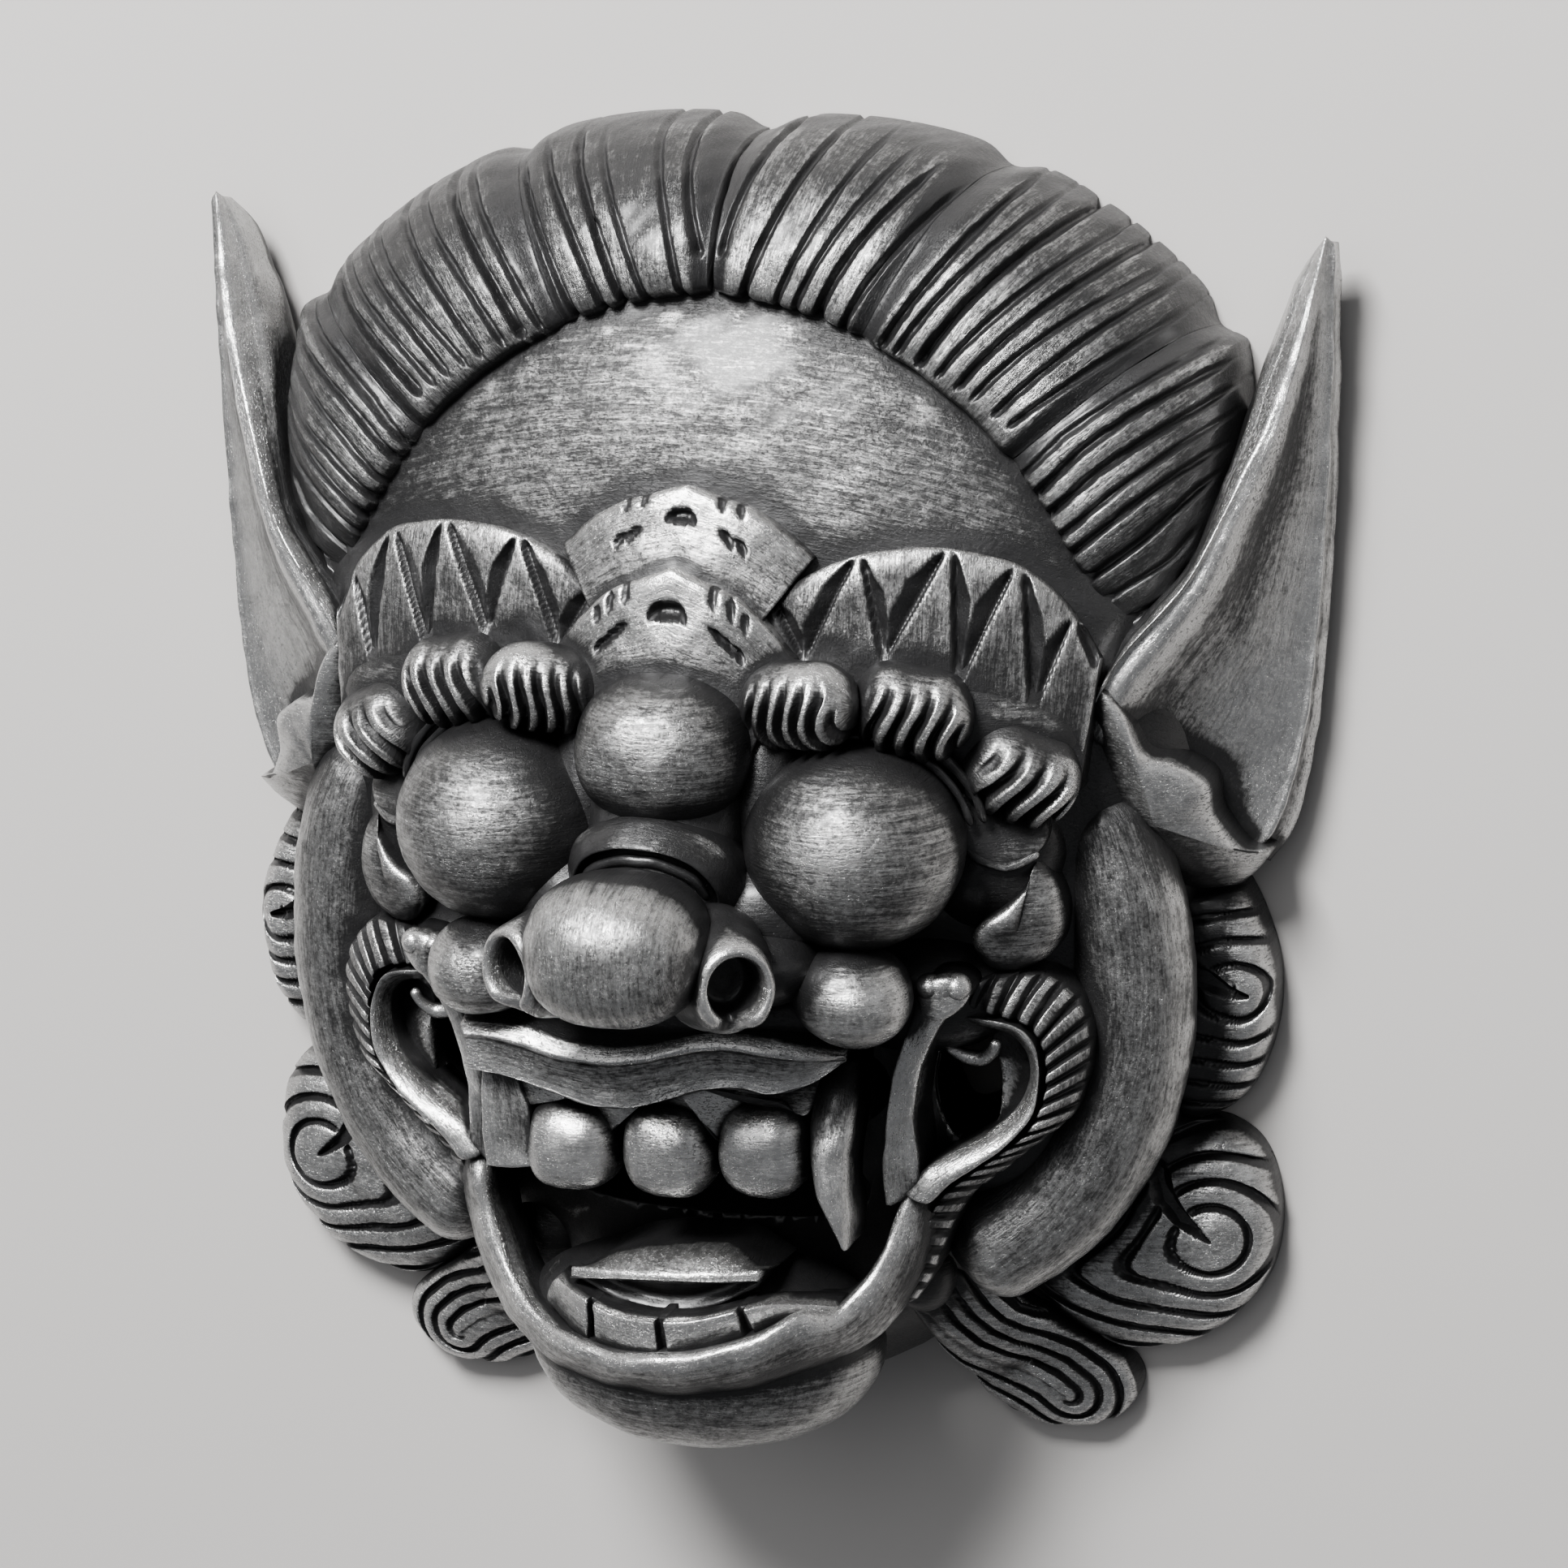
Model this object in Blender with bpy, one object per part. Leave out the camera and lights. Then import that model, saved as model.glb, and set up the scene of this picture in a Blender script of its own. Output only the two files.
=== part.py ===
"""A barong mask carved from one block of wood, lying face up on its flat back rim.

The frame has X across the face, Y from the chin to the crown and Z out of the face.
The carving is given in parts of the mask's own width, height and depth, so the face
keeps its proportions when one of those three changes. The walls and openings have
sizes of their own, in metres.
"""

import math

import bmesh
import bpy
import numpy as np
from mathutils import Matrix, Vector

# Overall size, metres
WIDTH = 0.210
HEIGHT = 0.245
DEPTH = 0.107

# The hollow behind the face and the openings through it, metres
RIM_WIDTH = 0.022
HOLLOW_DEPTH = 0.036
MOUTH_WIDTH = 0.060
MOUTH_GAP = 0.013
CHEEK_HOLE_WIDTH = 0.012
CHEEK_HOLE_HEIGHT = 0.023
NOSTRIL_WIDTH = 0.009
NOSTRIL_DEPTH = 0.013

# Hair strands carved in each lock, from the parting to the ear, and their grooves
STRANDS = (8, 8, 6)
GROOVE_DEPTH = 0.0030

# Fineness of the carved surface: the grid it is cut on, and its facets
GRAIN = 0.0012
FACETS = 8640

# Carver's parts: the mask is 210 parts wide, 245 high and 107 deep
ACROSS = WIDTH / 210
TALL = HEIGHT / 245
DEEP = DEPTH / 107

# The egg-shaped block, in parts: half width, middle, reach up and down from it, and height
BLOCK_HALF = 89
BLOCK_MIDDLE = 30
BLOCK_UP = 83
BLOCK_DOWN = 145
BLOCK_OUT = 52
BLOCK_FULLNESS = 2.4

# Heights, in parts, that shells are carried down to: inside the block, and past the back rim
SUNK = 4
BELOW = -4


def spot(x, y, z):
    """A place given in parts, in metres."""
    return Vector((x * ACROSS, y * TALL, z * DEEP))


def block(x, y):
    """Height of the plain egg-shaped block over a place, in parts."""
    reach = BLOCK_UP if y > BLOCK_MIDDLE else BLOCK_DOWN
    out = math.hypot(x / BLOCK_HALF, (y - BLOCK_MIDDLE) / reach)
    return BLOCK_OUT * max(0.0, 1 - out**BLOCK_FULLNESS) ** (1 / BLOCK_FULLNESS)


def smooth(points, count):
    """A smooth curve through the points, as count rows. A row may also hold a radius."""
    points = np.array(points, float)
    ends = np.vstack([2 * points[0] - points[1], points, 2 * points[-1] - points[-2]])
    place = np.linspace(0, len(points) - 1.000001, count)
    i = place.astype(int)
    t = (place - i)[:, None]
    a, b, c, d = (ends[i + k] for k in range(4))
    return b + t * (c - a + t * (2 * a - 5 * b + 4 * c - d + t * (3 * b - a - 3 * c + d))) / 2


def mirrored(points):
    """The same points on the other side of the face."""
    return [(-point[0],) + tuple(point[1:]) for point in points]


def skin(form, rings):
    """Closes a row of rings, given in parts, into one shell."""
    rows = [[form.verts.new(spot(*point)) for point in ring] for ring in rings]
    for low, high in zip(rows, rows[1:]):
        for i in range(len(low)):
            j = (i + 1) % len(low)
            form.faces.new((low[i], low[j], high[j], high[i]))
    form.faces.new(rows[0])
    form.faces.new(rows[-1])


def ball(form, centre, radii, turn=0.0, tip=0.0):
    """An egg of three radii, turned in the face's plane and tipped about its long way."""
    shape = Matrix.Translation(centre) @ Matrix.Rotation(math.radians(turn), 4, "Z")
    shape = shape @ Matrix.Rotation(math.radians(tip), 4, "Y") @ Matrix.Diagonal((*radii, 1))
    rings = []
    for rise in np.linspace(-0.49, 0.49, 14) * math.pi:
        ring = []
        for around in np.linspace(0, 2 * math.pi, 24, endpoint=False):
            across = math.cos(rise)
            ring.append(shape @ Vector((across * math.cos(around), across * math.sin(around), math.sin(rise))))
        rings.append(ring)
    skin(form, rings)


def both_balls(form, centre, radii, turn=0.0, tip=0.0):
    """The same egg on each side of the face."""
    ball(form, centre, radii, turn, tip)
    ball(form, (-centre[0], *centre[1:]), radii, -turn, -tip)


def tube(form, points, flat=1.0, ribs=0, rib=0.0, cap=0.08):
    """A round-ended bar through points of x, y, z and radius, with ribs round it if asked."""
    count = max(24, 8 * ribs)
    rows = smooth(points, count)
    path = rows[:, :3]
    along = np.linspace(0, 1, count)
    ends = np.clip(np.minimum(along, 1 - along) / cap, 0.02, 1)
    radius = rows[:, 3] * np.sqrt(1 - (1 - ends) ** 2)
    radius = radius - rib * np.abs(np.cos(math.pi * ribs * along)) ** 3
    way = np.gradient(path, axis=0)
    way /= np.linalg.norm(way, axis=1, keepdims=True)
    out = np.array([0, 0, 1]) - way * way[:, 2:]
    out /= np.linalg.norm(out, axis=1, keepdims=True)
    side = np.cross(way, out)
    rings = []
    for k in range(count):
        turn = np.linspace(0, 2 * math.pi, 16, endpoint=False)[:, None]
        rings.append(path[k] + radius[k] * (side[k] * np.cos(turn) + out[k] * flat * np.sin(turn)))
    skin(form, rings)


def both_tubes(form, points, **how):
    """The same bar on each side of the face."""
    tube(form, points, **how)
    tube(form, mirrored(points), **how)


def slab(form, near, far, height, side=1, count=40, across=16):
    """A raised panel between two edge curves. height(u, v, x, y) gives its face, in parts."""
    near, far = smooth(near, count), smooth(far, count)
    rings = []
    for k in range(count):
        u = k / (count - 1)
        ring = []
        for v in np.linspace(0, 1, across):
            x, y = near[k] * (1 - v) + far[k] * v
            ring.append((side * x, y, height(u, v, x, y)))
        ring += [(side * far[k][0], far[k][1], SUNK), (side * near[k][0], near[k][1], SUNK)]
        rings.append(ring)
    skin(form, rings)


def hairline(angle):
    """Distance of the hairline from the middle of the face, at an angle from the crown."""
    return 96.5 - 17.5 * (angle / 62) ** 1.4


def hair_edge(angle):
    """Distance of the hair's outer edge from the middle of the face."""
    return 123.0 + 3.5 * math.sin(math.radians(min(angle, 45) * 4)) - 0.7 * max(0, angle - 45)


def lock(form, side, inner, outer, strands):
    """One fan of hair between two angles at the hairline and two at the edge, grooved."""
    fold, groove = 5.0, GROOVE_DEPTH / DEEP
    rings = []
    for u in np.linspace(0, 1, 8 * strands + 1):
        line = inner[0] + (inner[1] - inner[0]) * u
        edge = outer[0] + (outer[1] - outer[0]) * u
        strand = abs(2 * (u * strands % 1) - 1) ** 2
        valley = abs(2 * u - 1) ** 7
        start, end = hairline(line), hair_edge(edge)
        ring = []
        for v in np.linspace(-0.12, 1, 18):
            swing = math.radians(90 * v)
            cut = groove * strand * min(1, (v + 0.12) * 8) + fold * valley * (0.5 + 0.5 * v)
            far = start + 3 + (end - start - 3 - cut) * math.sin(swing)
            turn = math.radians(line + (edge - line) * max(0, v) ** 0.8)
            up = (41 - cut) * math.cos(swing) ** 0.85 if v < 1 else BELOW
            ring.append((side * far * math.sin(turn), far * math.cos(turn), up))
        turn = math.radians(line)
        ring.append((side * 60 * math.sin(turn), 60 * math.cos(turn), BELOW))
        rings.append(ring)
    skin(form, rings)


def head_block(form):
    """The egg-shaped block that carries the face, down to the back rim."""
    rings = []
    for share in np.sin(np.linspace(0.02, math.pi / 2, 24)):
        ring = []
        for turn in np.linspace(0, 2 * math.pi, 72, endpoint=False):
            reach = BLOCK_UP if math.sin(turn) > 0 else BLOCK_DOWN
            x = BLOCK_HALF * share * math.cos(turn)
            y = BLOCK_MIDDLE + reach * share * math.sin(turn)
            ring.append((x, y, block(x, y) if share < 1 else 0))
        rings.append(ring)
    rings.append([(x, y, BELOW) for x, y, _ in rings[-1]])
    skin(form, rings)


def hair(form):
    """Three locks on each side of the parting."""
    inner = ((0.3, 16), (16, 36), (36, 66))
    outer = ((0.3, 21.2), (21.2, 43.2), (43.2, 62))
    for side in (1, -1):
        for i in range(3):
            lock(form, side, inner[i], outer[i], STRANDS[i])


def ears(form):
    """Long pointed ears: a thick inner ridge, a hollow leaf and a waved lobe."""
    ridge = [(66, 8, 33), (70, 30, 39), (76, 43, 36), (86, 54, 30), (95, 70, 23), (99.5, 88, 17), (102.5, 106, 12)]
    edge = [(88, -8, 16), (96.5, 2, 12), (100, 18, 10), (101.5, 45, 10), (102.5, 78, 11), (103, 94, 12), (103, 106, 12)]
    inner, outer = smooth(ridge, 40), smooth(edge, 40)
    for side in (1, -1):
        rings = []
        for k in range(40):
            t = k / 39
            sag = 11 * math.sin(math.pi * min(1, t + 0.12)) ** 0.7
            ring = []
            for w in np.linspace(0, 1, 14):
                x, y, z = inner[k] * (1 - w) + outer[k] * w
                ring.append((side * x, y, z - sag * math.sin(math.pi * w) ** 0.8))
            for w in np.linspace(1, 0, 5):
                x, y, z = inner[k] * (1 - w) + outer[k] * w
                ring.append((side * x, y, 3 * w + 2 * (1 - w)))
            rings.append(ring)
        skin(form, rings)
    crest = [(x, y, z, r) for (x, y, z), r in zip(ridge[1:], (4.5, 4.6, 4.4, 3.8, 3.0, 1.6))]
    both_tubes(form, crest, cap=0.04)
    both_tubes(form, [(x, y, z - 1, 2.2) for x, y, z in edge])
    both_tubes(form, [(72, 29, 37, 4), (77, 20, 34, 4), (84, 17, 29, 3.6), (88, 8, 24, 3.4), (92, -3, 17, 3)])
    both_balls(form, (77, 6, 22), (15, 15, 13), turn=-35)


def diadem(form):
    """A carved band over each brow, with pointed gouges between its leaves."""
    top = [(14, 46), (27, 54.5), (44, 57.5), (59, 51.5), (70.5, 39.5)]
    low = [(12, 34), (26, 37), (44, 38), (59, 28), (68, 17)]

    def face(u, v, x, y):
        leaf = abs(2 * (u * 4.5 % 1) - 1)
        gouge = 3.2 * max(0, 1 - abs(v - leaf * 0.85) / 0.17)
        return block(x, y) + 5.5 - gouge - 3 * (1 - v) * 0.2

    for side in (1, -1):
        slab(form, top, low, face, side, count=90, across=26)


def plaques(form):
    """Two pointed plaques on the middle of the forehead, the lower one standing on the upper."""

    def panel(tip, wing_x, wing_y, low, lift, slope):
        def face(u, v, x, y):
            return lift + slope * (tip - y) - 0.012 * x * x
        near = [(-wing_x, wing_y), (-wing_x * 0.5, (tip + wing_y) / 2 + 2), (0, tip)]
        near += [(-x, y) for x, y in near[-2::-1]]
        far = [(-wing_x * 0.8, low), (-wing_x * 0.4, low), (0, low), (wing_x * 0.4, low), (wing_x * 0.8, low)]
        slab(form, near, far, face)

    panel(66, 23, 54, 36, 53, 0.36)
    panel(54, 21, 38, 22, 62, 0.16)


def brows(form):
    """Three ribbed knobs over each eye and a smooth one between them."""
    for x, y, z, long, wide, turn, tip in (
        (23.5, 32, 60, 9.6, 7.0, 6, -16),
        (42.3, 31.5, 53, 9.6, 7.4, -10, 12),
        (60, 18.4, 43, 9, 8, -28, 30),
    ):
        turn, tip = math.radians(turn), math.radians(tip)
        step = np.array([math.cos(turn), math.sin(turn), -math.sin(tip)]) * long
        ends = [tuple(np.array([x, y, z]) + step * k) + (wide,) for k in (-1, 0, 1)]
        both_tubes(form, ends, ribs=5, rib=1.6, cap=0.3)
    both_balls(form, (40, 29, 45), (30, 13, 10), turn=-16, tip=10)
    ball(form, (0, 22.5, 66), (15.4, 13.4, 15))
    ball(form, (0, 24, 52), (22, 15, 15))
    both_balls(form, (16, 10, 56), (8, 20, 12))


def eyes(form):
    """Bulging eyes, each with a leaf at its outer corner."""
    both_balls(form, (31.9, 5.7, 58), (19.4, 18.2, 20))
    both_balls(form, (52, 1, 42), (13, 14, 9), turn=-50)
    both_balls(form, (58, -9, 39), (8.5, 12, 6.5), turn=-20)
    both_tubes(form, [(50, 14, 45, 2), (59, 3, 46, 3), (57, -8, 46, 3), (49, -16, 47, 2)])


def nose(form):
    """A wrinkled bridge, a round tip and flared nostrils."""
    tube(form, [(0, 18, 55, 14), (0, 8, 66, 15), (0, -2, 75, 14), (0, -14, 72, 13)])
    tube(form, [(-12, 3, 74, 3), (-9, 9, 79, 3.2), (0, 11, 82, 3.4), (9, 9, 79, 3.2), (12, 3, 74, 3)])
    ball(form, (0, -6.5, 91), (16, 12.4, 15))
    both_balls(form, (17, -6, 62), (12, 11, 13))
    both_balls(form, (17, -13, 76), (12, 9, 15))
    both_balls(form, (20.5, -12, 86), (7.6, 7.8, 8))


def cheeks(form):
    """Round cheeks, the long smooth rolls that frame the face and the pierced ribbons inside them."""
    both_balls(form, (33.6, -19.3, 66), (10, 8.4, 10), turn=-8)
    both_balls(form, (38, -22, 48), (20, 12, 16))
    roll = [(68, 9, 30, 7), (74, -7, 28, 8.6), (76.2, -26, 26, 9), (74, -46, 25, 9.2)]
    roll += [(66, -63, 26, 9.2), (54, -75, 31, 9), (49, -79, 34, 8)]
    both_tubes(form, roll, cap=0.06)
    ruffle = [(55, -20, 46, 5), (63, -27, 43, 5.5), (67, -40, 37, 5.5), (62, -53, 38, 5.2)]
    ruffle += [(53, -62, 41, 4.6), (45, -71, 43, 4)]
    both_tubes(form, ruffle, ribs=12, rib=1.1)
    ribbon = [(50.5, -17.5, 58, 4), (46, -27, 57, 3.3), (40.5, -42, 55, 3.4), (39.5, -58, 52, 4)]
    both_tubes(form, ribbon)
    both_tubes(form, [(51, -27, 52, 2.8), (57, -31, 49, 2.6), (59, -42, 45, 2.6), (52, -53, 47, 2.8), (40, -61, 51, 3)])
    both_balls(form, (47, -42, 34), (17, 26, 13))


def upper_mouth(form):
    """The waved upper lip, the gum and the teeth under it."""
    lip = [(-38, -30, 63, 4.2), (-26, -34.5, 65, 5.6), (-12, -35.5, 64, 6), (0, -32, 63, 6)]
    lip += mirrored(lip[-2::-1])
    tube(form, lip)
    ball(form, (0, -25, 52), (38, 11, 18))
    ball(form, (0, -44, 46), (36, 13, 14))
    ball(form, (0, -50, 57), (8, 8, 8))
    both_balls(form, (18.2, -49, 58), (8, 8, 8))
    tube(form, [(32, -35, 61, 5), (33.5, -47, 62, 4.6), (34.5, -58, 61, 3.2), (36, -67, 58, 1)], cap=0.03)
    tube(form, [(-32, -34, 60, 5.5), (-31.5, -44, 61, 6), (-31, -54, 60, 5.5)])


def jaw(form):
    """The lower jaw: thick lip, chin, tongue and four flat teeth."""
    lip = [(-40, -57, 50, 4), (-36, -74, 53, 4.6), (-28, -87, 60, 5), (-14, -92, 69, 5.2), (0, -92, 72, 5.4)]
    lip += mirrored(lip[-2::-1])
    tube(form, lip)
    ball(form, (0, -94, 42), (33, 19, 26))
    ball(form, (0, -84, 48), (33, 13, 21))
    both_balls(form, (36, -70, 38), (12, 18, 14), turn=25)
    ball(form, (0, -75, 59), (19, 7, 12))
    for i in range(4):
        x = 7.6 * (i - 1.5)
        ball(form, (x, -83 + 0.012 * x * x, 69), (3.7, 4.4, 5))
    ball(form, (0, -96, 10), (44, 17, 16))


def curls(form):
    """Three spiral whisker curls on each side, behind the cheek rolls."""
    high = [(74, -8, 10, 7), (85, -11, 12, 6), (94, -20, 12, 5), (96, -33, 12, 5), (90, -42, 12, 5)]
    high += [(83, -37, 13, 4), (84, -28, 14.5, 3.4), (90, -27, 15, 3)]
    middle = [(62, -66, 12, 8), (76, -60, 13, 7), (90, -62, 12, 6), (96, -74, 11, 6), (92, -88, 10, 6)]
    middle += [(80, -91, 11, 5.4), (74, -82, 13, 4.6), (79, -74, 15, 4), (86, -76, 16, 3.4)]
    low = [(36, -84, 10, 9), (50, -91, 9, 7.6), (64, -99, 7, 6), (68, -109, 6, 5), (60, -115, 6, 4.6)]
    low += [(51, -111, 8, 4), (53, -105, 9, 3.4)]
    for points in (high, middle, low):
        both_tubes(form, points, cap=0.05)
    both_balls(form, (86, -27, 5), (13, 20, 10.5))
    both_balls(form, (84, -76, 4), (16, 19, 11.5))
    both_balls(form, (54, -101, 2), (18, 15, 9), turn=-30)
    both_balls(form, (70, -54, 6), (14, 14, 12))


def piece(name, build):
    """A new object made of shells, with their faces turned out."""
    form = bmesh.new()
    build(form)
    bmesh.ops.recalc_face_normals(form, faces=form.faces)
    mesh = bpy.data.meshes.new(name)
    form.to_mesh(mesh)
    form.free()
    made = bpy.data.objects.new(name, mesh)
    bpy.context.scene.collection.objects.link(made)
    return made


def carving(form):
    """Every raised form of the mask."""
    for carve in (head_block, hair, ears, diadem, plaques, brows, eyes, nose):
        carve(form)
    for carve in (cheeks, upper_mouth, jaw, curls):
        carve(form)


def hollow(form):
    """The smooth hollow behind the face, open at the back."""
    half_x = BLOCK_HALF * ACROSS - RIM_WIDTH
    up = BLOCK_UP * TALL - RIM_WIDTH
    down = BLOCK_DOWN * TALL - RIM_WIDTH
    rings = []
    for share in np.sin(np.linspace(0.05, math.pi / 2, 9)):
        ring = []
        for turn in np.linspace(0, 2 * math.pi, 28, endpoint=False):
            reach = up if math.sin(turn) > 0 else down
            rise = HOLLOW_DEPTH * (1 - share**2.6) ** 0.45
            y = BLOCK_MIDDLE * TALL + reach * share * math.sin(turn)
            ring.append((half_x * share * math.cos(turn) / ACROSS, y / TALL, rise / DEEP))
        rings.append(ring)
    rings.append([(x, y, 3 * BELOW) for x, y, _ in rings[-1]])
    skin(form, rings)


def prism(form, centre, half_x, half_y, low, high, sides=14, lean=(0, 0), square=2.0):
    """An upright opening cutter with a rounded outline, sizes in metres and places in parts."""
    rings = []
    for z in (low, high):
        shift = (z - low) / (high - low)
        ring = []
        for turn in np.linspace(0, 2 * math.pi, sides, endpoint=False):
            c, s = math.cos(turn), math.sin(turn)
            x = centre[0] + lean[0] * shift + half_x / ACROSS * math.copysign(abs(c) ** (2 / square), c)
            y = centre[1] + lean[1] * shift + half_y / TALL * math.copysign(abs(s) ** (2 / square), s)
            ring.append((x, y, z))
        rings.append(ring)
    skin(form, rings)


def mouth_opening(form):
    """The gap between the upper teeth and the tongue, right through to the hollow."""
    prism(form, (0, -63.5), MOUTH_WIDTH / 2, MOUTH_GAP / 2, 15, 90, sides=20, lean=(0, 0), square=3)


def cheek_openings(form):
    """The pierced hole in each cheek ribbon."""
    for side in (1, -1):
        size = (CHEEK_HOLE_WIDTH / 2, CHEEK_HOLE_HEIGHT / 2)
        prism(form, (side * 45, -41), *size, 5, 80, lean=(side * 7, -2))


def nostrils(form):
    """A blind hole in each flared nostril."""
    tip = 95
    floor = tip - NOSTRIL_DEPTH / DEEP
    for side in (1, -1):
        half = NOSTRIL_WIDTH / 2
        prism(form, (side * 19, -11), half, half, floor, tip + 5, sides=10, lean=(side * 4, -2))


def ground(form):
    """The flat that the back rim is planed to."""
    size = (2 * WIDTH, 2 * HEIGHT, DEPTH)
    shape = Matrix.Translation((0, 0, -DEPTH / 2)) @ Matrix.Diagonal((*size, 1))
    bmesh.ops.create_cube(form, size=1, matrix=shape)


def silver_over_black():
    """Silver rubbed over black paint."""
    made = bpy.data.materials.new("antiqued_silver")
    made.use_nodes = True
    shader = made.node_tree.nodes["Principled BSDF"]
    shader.inputs["Base Color"].default_value = (0.20, 0.20, 0.21, 1)
    shader.inputs["Roughness"].default_value = 0.42
    shader.inputs["Metallic"].default_value = 0.75
    return made


def settle(made, holder):
    """Centres the finished mask over the origin, with its cutters."""
    graph = bpy.context.evaluated_depsgraph_get()
    finished = made.evaluated_get(graph)
    corners = np.array([finished.matrix_world @ v.co for v in finished.data.vertices])
    low, high = corners.min(axis=0), corners.max(axis=0)
    holder.location = (-(low[0] + high[0]) / 2, -(low[1] + high[1]) / 2, 0)
    bpy.context.view_layer.update()
    print("mask, mm:", " x ".join(f"{1000 * side:.1f}" for side in high - low))
    print("moved by, mm:", [round(1000 * place, 2) for place in holder.location])


def build():
    for old in list(bpy.data.objects):
        bpy.data.objects.remove(old, do_unlink=True)
    holder = bpy.data.objects.new("mask_place", None)
    bpy.context.scene.collection.objects.link(holder)

    mask = piece("mask", carving)
    mask.data.materials.append(silver_over_black())
    mask.parent = holder

    fused = mask.modifiers.new("carved_as_one", "REMESH")
    fused.mode = "VOXEL"
    fused.voxel_size = GRAIN
    graph = bpy.context.evaluated_depsgraph_get()
    facets = mask.evaluated_get(graph).data
    facets.calc_loop_triangles()
    thinned = mask.modifiers.new("facets", "DECIMATE")
    thinned.ratio = FACETS / len(facets.loop_triangles)

    for shape in (ground, hollow, mouth_opening, cheek_openings, nostrils):
        cutter = piece("cut_" + shape.__name__, shape)
        cutter.hide_render = True
        cutter.display_type = "WIRE"
        cutter.parent = holder
        cut = mask.modifiers.new(shape.__name__, "BOOLEAN")
        cut.operation = "DIFFERENCE"
        cut.object = cutter
    settle(mask, holder)


build()
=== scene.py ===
# %% [markdown]
# # A carved guardian mask in antiqued silver
# The mask is one block of wood: fanned hair, a domed forehead, long ears, bulging eyes, a round
# nose, an open mouth and spiral whiskers. It was painted black, and silver was rubbed over it.
# It could be sculpted by hand, or grown from one fused volume. Here every carved form is a surface
# worked out with numpy and closed into a shell, because overlapping shells meet in the crisp
# creases that a chisel leaves, and each number stays a size that can be read.

import bpy
import numpy as np
from mathutils import Matrix, Vector


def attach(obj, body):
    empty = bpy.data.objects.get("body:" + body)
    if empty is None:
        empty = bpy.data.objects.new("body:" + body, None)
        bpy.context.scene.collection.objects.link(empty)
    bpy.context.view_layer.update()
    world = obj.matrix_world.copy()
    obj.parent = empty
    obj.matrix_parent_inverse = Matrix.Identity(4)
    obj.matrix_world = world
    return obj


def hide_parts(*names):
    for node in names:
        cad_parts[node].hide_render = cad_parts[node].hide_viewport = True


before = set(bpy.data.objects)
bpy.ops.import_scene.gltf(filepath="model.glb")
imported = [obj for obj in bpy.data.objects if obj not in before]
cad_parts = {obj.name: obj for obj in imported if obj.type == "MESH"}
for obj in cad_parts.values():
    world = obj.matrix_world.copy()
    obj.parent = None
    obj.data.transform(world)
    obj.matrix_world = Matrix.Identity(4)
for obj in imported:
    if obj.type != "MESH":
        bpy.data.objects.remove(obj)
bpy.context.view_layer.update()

# %% [markdown]
# ## One set of measures
# The carver's measures are millimetres from the middle of the face: X across, Y up to the crown
# and Z out of the face, with the back rim at Z = 0. The solid is centred on its own outline, so the
# middle of the face lies a little off it. Every point goes through `in_place` on its way to a mesh.

# %% Measures
FACE_MIDDLE = np.array([0.07, -1.96, 0.0])
MM = 0.001
scene = bpy.context.scene


def in_place(points):
    """Carver's millimetres moved by the middle of the face, and then in metres."""
    return (np.asarray(points, float) + FACE_MIDDLE) * MM


def put_in_scene(name, data):
    """An object that shows the data, linked to the scene."""
    made = bpy.data.objects.new(name, data)
    scene.collection.objects.link(made)
    return made


# %% [markdown]
# ## Camera
# The photograph looks down on the mask from a little above the crown's side and from the right.
# Measured from pairs of features that match across the face, that is 16.5 degrees round and
# 14.5 degrees up, 0.9 m away. The lens keeps the mask the same size in the frame.

# %% Camera
AROUND, ABOVE, AWAY = np.radians(16.5), np.radians(14.5), 900.0
SENSOR = 36
FOCUS_PIXELS, PHOTO_PIXELS = 5967, 1932

target = Vector(in_place((2.0, 0.0, 0.0)))
backwards = Vector((np.sin(AROUND) * np.cos(ABOVE), np.sin(ABOVE), np.cos(AROUND) * np.cos(ABOVE)))
camera_data = bpy.data.cameras.new("camera")
camera_data.lens = FOCUS_PIXELS / PHOTO_PIXELS * SENSOR
camera_data.sensor_width = SENSOR
camera = put_in_scene("camera", camera_data)
right = Vector((np.cos(AROUND), 0, -np.sin(AROUND)))
upwards = backwards.cross(right)
camera.matrix_world = Matrix((
    (right.x, upwards.x, backwards.x, target.x + backwards.x * AWAY * MM),
    (right.y, upwards.y, backwards.y, target.y + backwards.y * AWAY * MM),
    (right.z, upwards.z, backwards.z, target.z + backwards.z * AWAY * MM),
    (0, 0, 0, 1),
))
scene.camera = camera
print("camera, mm:", [round(place * 1000) for place in camera.location])

# %% [markdown]
# ## Curves and shells
# A few small tools make every form. `thread` draws a smooth curve through a few points, and `looped`
# a closed one. `closed` joins rings of points into one shell and caps its two ends with a pole. It
# also gives each point its place along and across the brush strokes, which the finish needs later.

# %% Curves and shells
SHELL_GRAIN, MIRROR_GRAIN = 37.0, 19.0


def cubic(a, b, c, d, t):
    """The cubic from b to c whose slope at each is half the step between its two neighbours."""
    return b + t * (c - a + t * (2 * a - 5 * b + 4 * c - d + t * (3 * b - a - 3 * c + d))) / 2


def thread(points, count):
    """A smooth curve through the points, as count rows."""
    points = np.array(points, float)
    ends = np.vstack([2 * points[0] - points[1], points, 2 * points[-1] - points[-2]])
    place = np.linspace(0, len(points) - 1.000001, count)
    i = place.astype(int)
    return cubic(*(ends[i + k] for k in range(4)), (place - i)[:, None])


def looped(points, count):
    """A smooth closed curve through the points, as count rows."""
    place = np.linspace(0, len(points), count, endpoint=False)
    i = place.astype(int)
    return cubic(*(points[(i + k) % len(points)] for k in (-1, 0, 1, 2)), (place - i)[:, None])


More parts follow.
